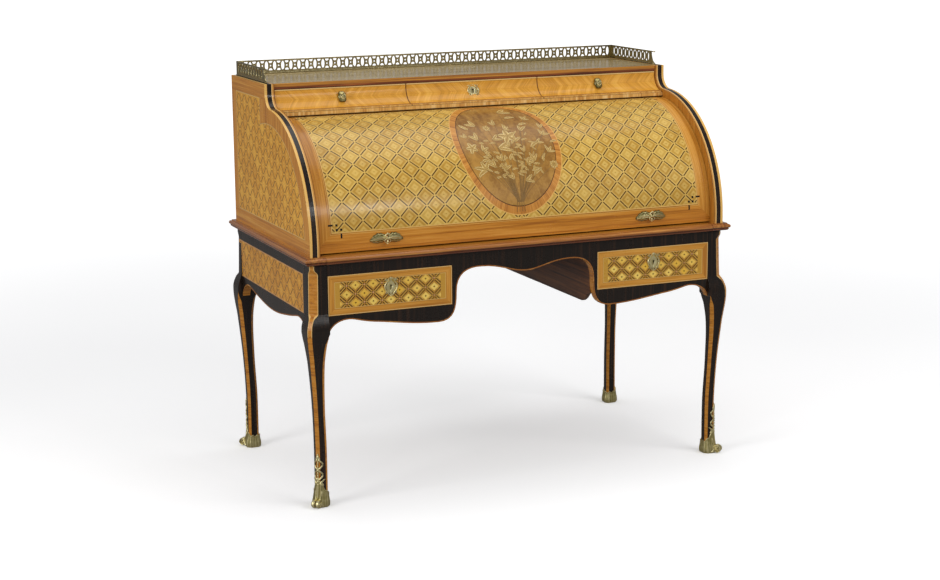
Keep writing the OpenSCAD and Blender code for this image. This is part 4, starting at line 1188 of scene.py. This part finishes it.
class Marquetry:
    """Thin pieces of sawn veneer let into the fall, with places along and across each for its shading."""

    def __init__(self):
        self.points = []
        self.faces = []
        self.places = []

    def leaf(self, x, s, turn, length, width, bend=0.0, notch=0.0, n=12, m=4):
        """A leaf from its foot at x, s; turn is its bearing from straight up, bend how far it curves."""
        base = len(self.points)
        for i in range(n + 1):
            t = i / n
            lean = math.radians(turn) + bend * (t - 0.3)
            along = length * t
            half = width / 2 * math.sin(math.pi * (0.06 + 0.9 * t)) ** 0.8 * (1 + notch * math.cos(t * 19))
            cx = x + along * math.sin(lean)
            cs = s + along * math.cos(lean)
            for j in range(m + 1):
                k = 2 * j / m - 1
                lift = 0.28 if abs(k) < 0.95 else 0.02
                self.points.append(on_fall(cx + k * half * math.cos(lean), cs - k * half * math.sin(lean),
                                           lift))
                self.places.append((t, (k + 1) / 2))
        for i in range(n):
            for j in range(m):
                a = base + i * (m + 1) + j
                self.faces.append((a, a + 1, a + m + 2, a + m + 1))

    def stem(self, path, width):
        """A narrow stem through places on the fall."""
        base = len(self.points)
        for i, (x, s) in enumerate(path):
            x2, s2 = path[min(i + 1, len(path) - 1)]
            x1, s1 = path[max(i - 1, 0)]
            size = math.hypot(x2 - x1, s2 - s1)
            side_x, side_s = (s2 - s1) / size, (x1 - x2) / size
            for k in (-1, 1):
                self.points.append(on_fall(x + k * width / 2 * side_x, s + k * width / 2 * side_s, 0.22))
                self.places.append((0.5, 0.5))
            if i:
                a = base + 2 * i
                self.faces.append((a - 2, a - 1, a + 1, a))

    def piece(self, name, finish):
        made = add_piece(name, self.points, self.faces, "fall", finish)
        layer = made.data.uv_layers.new(name="leaf")
        for loop in made.data.loops:
            layer.data[loop.index].uv = self.places[loop.vertex_index]
        return made


petal_finish, bench, shader = new_finish("marquetry_petals", Coat_Weight=0.12, Coat_Roughness=0.14,
                                         Specular_IOR_Level=0.3)
x, y, z = bench.spot()
u, v = bench.split(bench.lay("ShaderNodeTexCoord", {}, gives="UV"))[:2]
half = (v - 0.5).size()
side_veins = ((u * 34.0 + half * 16.0).sum("SINE") * 0.5 + 0.5).over(0.8)
vein = half.under(0.05) + side_veins * half.under(0.36)
wood = bench.noise(bench.point(x * 40, y * 40, z * 40), detail=3)
petal = bench.mix(wood, srgb("#b08a44"), srgb("#cfae66"))
petal = bench.mix(half.soft(0.22, 0.36), petal, srgb("#e3c885"))
petal = bench.mix(vein * 0.6, petal, srgb("#7d5526"))
petal = bench.mix(half.over(0.455).most(u.under(0.03)).most(u.over(0.975)), petal, srgb("#4f3015"))
bench.feed(shader.inputs["Base Color"], petal)
polish(bench, shader, x, y, z, 0.26, vein)

stem_finish, bench, shader = new_finish("marquetry_stems", Coat_Weight=0.12, Coat_Roughness=0.14,
                                        Specular_IOR_Level=0.3)
x, y, z = bench.spot()
wood = bench.noise(bench.point(x * 70, y * 70, z * 70), detail=3)
bench.feed(shader.inputs["Base Color"], bench.mix(wood, srgb("#6f4f22"), srgb("#93703a")))
polish(bench, shader, x, y, z, 0.26, wood)

# Heads of the bouquet: place across, place up, bearing, length, and how many petals, 0 for a leaf
heads = [(27, 424, 75, 46, 2), (34, 385, 70, 34, 0), (-72, 352, -45, 38, 2), (-98, 340, -60, 34, 0),
         (-42, 339, 20, 13, 6), (-86, 290, -25, 34, 2), (-114, 262, -20, 20, 5), (-84, 248, 35, 30, 2),
         (-32, 256, 82, 44, 2), (12, 300, -8, 30, 5), (27, 276, 30, 30, 2), (89, 371, 40, 24, 3),
         (128, 327, 15, 26, 2), (122, 296, 35, 26, 3), (138, 266, 60, 24, 0), (120, 232, 40, 26, 3),
         (127, 190, 0, 14, 8), (98, 202, 0, 26, 0), (70, 205, -20, 30, 3), (44, 197, 50, 26, 2),
         (-58, 192, -30, 30, 2), (-86, 184, -50, 40, 4), (-28, 182, 10, 26, 3), (-8, 152, -30, 26, 2),
         (26, 146, 78, 32, 2), (60, 163, 30, 28, 2), (-96, 212, 60, 28, 0), (-32, 212, -15, 28, 2),
         (-6, 212, 12, 26, 0), (72, 252, 40, 34, 0), (-40, 290, 70, 30, 2), (60, 318, 25, 30, 2),
         (-10, 352, -20, 28, 2), (5, 258, -35, 24, 3), (92, 268, 70, 24, 2), (-62, 228, -65, 26, 2),
         (46, 238, -10, 24, 2), (64, 345, 60, 30, 0), (-118, 302, -35, 24, 2), (10, 330, 60, 24, 3)]
bouquet = Marquetry()
stems = Marquetry()
luck = random.Random(11)
for place_x, place_s, bearing, length, petals in heads:
    gather_x = place_x * 0.08
    path = []
    for i in range(13):
        t = i / 12
        sway = math.sin(t * math.pi) * 8 * math.copysign(1, place_x)
        path.append((gather_x + (place_x - gather_x) * t ** 1.6 + sway, 84 + (place_s - 84) * t))
    stems.stem(path, 1.5)
    for share in (0.55, 0.78):
        leaf_x, leaf_s = path[int(12 * share)]
        turn = luck.choice((-1, 1)) * luck.uniform(35, 80)
        if leaf_s > 150:
            bouquet.leaf(leaf_x, leaf_s, turn, luck.uniform(15, 24), luck.uniform(5, 7.5),
                         luck.uniform(-0.6, 0.6))
    if petals >= 5:
        for k in range(petals):
            turn = bearing + 360 * k / petals
            bouquet.leaf(place_x, place_s, turn, length * luck.uniform(0.9, 1.1), length * 0.62)
    elif petals:
        for k in range(petals):
            turn = bearing + (k - (petals - 1) / 2) * 34
            turn_in = 0.35 * (k - (petals - 1) / 2)
            bouquet.leaf(place_x, place_s, turn, length * luck.uniform(0.85, 1.1), length * 0.32, turn_in)
    else:
        bouquet.leaf(place_x, place_s, bearing, length, length * 0.34, 0.4, 0.12)
for foot, lean in ((-9, -14), (-3, -5), (3, 4), (8, 12)):
    stems.stem([(foot * (1 - t) + lean * t, 98 - 42 * t) for t in (0, 0.25, 0.5, 0.75, 1)], 1.8)
stems.piece("marquetry_stems", stem_finish)
bouquet.piece("marquetry_bouquet", petal_finish)

# ---- Fall handles ---------------------------------------------------------------------
# Two gilt bronze handles near the lower edge of the fall: a pierced ring between two ribbed leaves
# that stand off the panel, with a bead below. Cast in one and held by nuts inside.
def lobed_leaf(s):
    """One half of the handle: a ribbed leaf that runs out sideways from the middle, in mm."""
    def top(t, k):
        side = 2 * k - 1
        half = (4 + 9.5 * math.sin(math.pi * (0.15 + 0.72 * t))) * (1 - 0.75 * t ** 5)
        half = half * (1 + 0.1 * math.cos(t * 25))
        middle = 3.5 + 2.5 * math.sin(math.pi * t) - 6.5 * t
        proud = (11.5 - 8.5 * t) * (1 - 0.55 * side * side) + 1.5 * math.cos(side * 12.0) * (1 - 0.7 * t)
        return (s * (5 + 44.5 * t), proud, middle + side * half)

    def bottom(t, k):
        x, proud, rise = top(t, k)
        return (x, min(0.4, proud), rise)
    return (top, bottom) if s < 0 else (lambda t, k: top(t, 1 - k), lambda t, k: bottom(t, 1 - k))


handle = Casting()
for s in (-1, 1):
    top, bottom = lobed_leaf(s)
    handle.pad(top, bottom, 22, 14)
    vein = [(s * (6 + 42 * t), 12.6 - 8.8 * t, 3.5 + 2.5 * math.sin(math.pi * t) - 6.5 * t)
            for t in (0, 0.2, 0.4, 0.6, 0.8, 1)]
    handle.rod(vein, [1.6, 1.5, 1.4, 1.2, 0.9, 0.5], sides=6, across=(0, 0, 1))
    curl = [(s * (3 + 5.5 * math.sin(t)), 10.5 - 1.5 * t / 3, -5.5 + 5.5 * math.cos(t))
            for t in [0.35 * i for i in range(10)]]
    handle.rod(curl, [1.7 - 0.1 * i for i in range(10)], across=(0, 1, 0))
ring = []
for i in range(25):
    turn = 2 * math.pi * i / 24
    ring.append((7.2 * math.sin(turn), 11.5 + 1.6 * math.cos(turn), 7.5 + 7.2 * math.cos(turn)))
handle.rod(ring, [2.3] * 25, sides=8)
handle.ball((0, 9.5, -7), (3.4, 3.2, 4.2))
handle.ball((0, 8.5, -12.5), (2.9, 2.9, 2.9))
handle.ball((0, 12.5, 16.2), (2.4, 2.0, 1.8))
handle.rod([(0, 0.2, 2), (0, 6, 2), (0, 10, 1)], [6.5, 5, 4], across=(1, 0, 0))
handle_z = 755 * mm
for name in ("left", "right"):
    low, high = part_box("fall_handle_" + name)
    rise = handle_z - axis.z
    turn = math.asin(rise / fall_radius)
    back = axis.y - fall_radius * math.cos(turn)
    placing = on_front((low.x + high.x) / 2, back, handle_z, -turn)
    add_piece("leaf_handle_" + name, handle.placed(placing), handle.faces, "fall",
              bronze_finish, ["fall_handle_" + name])

# ---- Frieze drawers ----------------------------------------------------------------------
# Three shallow drawers with hollow fronts over the fall, of oak with quarter-veneered fronts:
# chevrons that meet at mid height, a crossbanded lip below and a light string along the top.
centre_low, centre_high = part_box("frieze_drawer_front_centre")
right_low, right_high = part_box("frieze_drawer_front_right")
right_x = (right_low.x + right_high.x) / 2
frieze_z = 1118.5 * mm

frieze_finish, bench, shader = new_finish("frieze_quarter_veneer", Coat_Weight=0.12, Coat_Roughness=0.12,
                                          Specular_IOR_Level=0.3)
x, y, z = bench.spot()
nx, ny, nz = bench.facing()
beside = x.size().over(centre_high.x + 1 * mm)
u = (x.size() - beside * right_x).size()
v = (z - frieze_z).size()
grain = u * 0.8 + v * 0.9
cross = u * 0.9 - v * 0.8
chevron, tone = veneer_colour(bench, grain, cross, x * 0.05, 60.0, srgb("#e6ad4a"), srgb("#d89a38"),
                              srgb("#c4892f"))
upright = veneer_colour(bench, z, x, y, 75.0, srgb("#f0cb8a"), srgb("#dca95a"), srgb("#b98040"))[0]
frieze = bench.mix(v.under(0.4 * mm).most(u.under(0.4 * mm)) * 0.35, chevron, srgb("#a8712c"))
frieze = bench.mix((z - centre_low.z).under(4.8 * mm), frieze, upright)
frieze = bench.mix((z - (centre_low.z + 5.2 * mm)).size().under(0.6 * mm), frieze, srgb("#8c5620"))
frieze = bench.mix((z * -1.0 + centre_high.z).under(3 * mm), frieze, srgb("#e9c580"))
frieze = bench.mix((z * -1.0 + centre_high.z - 3.4 * mm).size().under(0.5 * mm), frieze, srgb("#8c5620"))
side_wide = beside * (right_high.x - right_x - centre_high.x) + centre_high.x
frieze = bench.mix((u * -1.0 + side_wide).under(1.2 * mm), frieze, srgb("#7a4718"))
inside = veneer_colour(bench, y, x, z, 60.0, oak_light, oak_mid, oak_dark)[0]
front_face = ny.under(-0.1).most(nz.under(-0.2) * y.under(20 * mm))
bench.feed(shader.inputs["Base Color"], bench.mix(front_face, inside, frieze))
polish(bench, shader, x, y, z, 0.22, tone)
for name in ("left", "right", "centre"):
    dress(frieze_finish, "frieze_drawer_front_" + name)
    dress(bare_oak, "frieze_drawer_box_" + name)


def rocaille_knob(width, height, reach):
    """An oval knob of overlapping ribbed shells round a scroll, in mm."""
    knob = Casting()
    neck = [(0, 0, 0), (0, reach * 0.3, 0), (0, reach * 0.5, 0)]
    knob.rod(neck, [width * 0.26, width * 0.17, width * 0.2], across=(1, 0, 0))

    def shell(turn, size, rise):
        def top(t, k):
            side = 2 * k - 1
            half = size * (0.2 + 0.42 * math.sin(math.pi * (0.1 + 0.75 * t)))
            half = half * (1 + 0.06 * math.cos(side * 9))
            along = size * (t - 0.12)
            proud = reach * (rise - 0.38 * t * t) * (1 - 0.25 * side * side) + 0.5 * math.cos(side * 11) * t
            c, s = math.cos(turn), math.sin(turn)
            return (along * s + side * half * c, proud, along * c - side * half * s)

        def bottom(t, k):
            x, proud, z = top(t, k)
            return (x * 0.96, proud - reach * 0.22, z * 0.96)
        return top, bottom

    for turn, size, rise in ((0, 0.5, 0.93), (180, 0.5, 0.93), (62, 0.36, 0.85), (-62, 0.36, 0.85),
                             (118, 0.36, 0.85), (-118, 0.36, 0.85)):
        knob.pad(*shell(math.radians(turn), height * size, rise), 9, 10)
    scroll = []
    for i in range(22):
        turn = math.radians(90 + 30 * i)
        radius = width * (0.34 - 0.012 * i)
        scroll.append((radius * math.cos(turn), reach * (0.86 + 0.004 * i), radius * 1.25 * math.sin(turn)))
    knob.rod(scroll, [1.5 - 0.03 * i for i in range(22)])
    knob.ball((0, reach * 0.92, 0), (2.2, 1.6, 2.6))
    return knob


mount_y, mount_z, mount_lean = 21.66 * mm, 1118.3 * mm, math.radians(-27)
knob = rocaille_knob(26, 37, 14)
for name in ("left", "right"):
    low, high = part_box("frieze_knob_" + name)
    placing = on_front((low.x + high.x) / 2, mount_y, mount_z, mount_lean)
    add_piece("rocaille_knob_" + name, knob.placed(placing), knob.faces, "frieze_drawer_" + name,
              bronze_finish, ["frieze_knob_" + name])
plate = key_plate(36, 44)
placing = on_front(0, mount_y, mount_z, mount_lean)
add_piece("key_plate_frieze", plate.placed(placing), plate.faces, "frieze_drawer_centre",
          bronze_finish, ["frieze_escutcheon_centre"])
# painted shadow: a dark pad behind the key plate's hole for the shade inside the keyhole
face = keyhole_shadow_pad()
add_piece("lock_face_frieze", face.placed(placing), face.faces, "frieze_drawer_centre",
          iron_finish)

# ---- Top board ----------------------------------------------------------------------------
# The top of the upper case, veneered in long sheets and polished bright, its front edge in two
# woods: orange above and red-brown below. Glued down over the ends and the frieze.
top_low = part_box("top_board")[0]
top_finish, bench, shader = new_finish("top_board_veneer", Coat_Weight=0.5, Coat_Roughness=0.2)
x, y, z = bench.spot()
nx, ny, nz = bench.facing()
sheet, tone = veneer_colour(bench, x, y, z, 45.0, srgb("#cbb486"), srgb("#b39a68"), srgb("#8d7346"))
upper = veneer_colour(bench, x, z, y, 90.0, srgb("#dea548"), srgb("#c0822f"), srgb("#98602a"))[0]
lower = veneer_colour(bench, x, z, y, 90.0, srgb("#b56a2e"), srgb("#8a4a20"), red_dark)[0]
edge = bench.mix(z.over(top_low.z + 8 * mm), lower, upper)
edge = bench.mix(z.under(top_low.z + 0.8 * mm), edge, srgb("#3a2012"))
bench.feed(shader.inputs["Base Color"], bench.mix(nz.over(0.5), edge, sheet))
polish(bench, shader, x, y, z, 0.2, tone)
dress(top_finish, "top_board")

# ---- Gallery --------------------------------------------------------------------------------
# Pierced brass gallery round the back and sides of the top: ovals between small eyes and arches,
# sawn from sheet, with a bead soldered along its foot and a thin rail along its top.
gallery_finish = gilt_finish("gallery_sheet_brass", srgb("#b3a67c"), srgb("#6f6747"), srgb("#2b281b"), 0.0001)
dress(gallery_finish, "gallery_back", "gallery_left", "gallery_right")
back_low, back_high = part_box("gallery_back")
right_side_low, right_side_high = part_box("gallery_right")
middle_y = (back_low.y + back_high.y) / 2
side_x = (right_side_low.x + right_side_high.x) / 2
front_y = right_side_low.y
rail = Casting()
path = [(-side_x, front_y), (-side_x, middle_y), (side_x, middle_y), (side_x, front_y)]
count = 12
for height, radius in ((back_high.z / mm - 1.1, 1.9), (back_low.z / mm + 1.6, 2.3)):
    for (x1, y1), (x2, y2) in zip(path, path[1:]):
        run = [(x1 + (x2 - x1) * i / count, y1 + (y2 - y1) * i / count) for i in range(count + 1)]
        rail.rod([(x / mm, y / mm, height) for x, y in run], [radius] * (count + 1), across=(0, 0, 1))
    for x1, y1 in path:
        rail.ball((x1 / mm, y1 / mm, height), (radius * 1.2, radius * 1.2, radius * 1.05))
add_piece("gallery_rails", rail.placed(Matrix.Scale(mm, 4)), rail.faces, "carcase",
          gallery_finish)
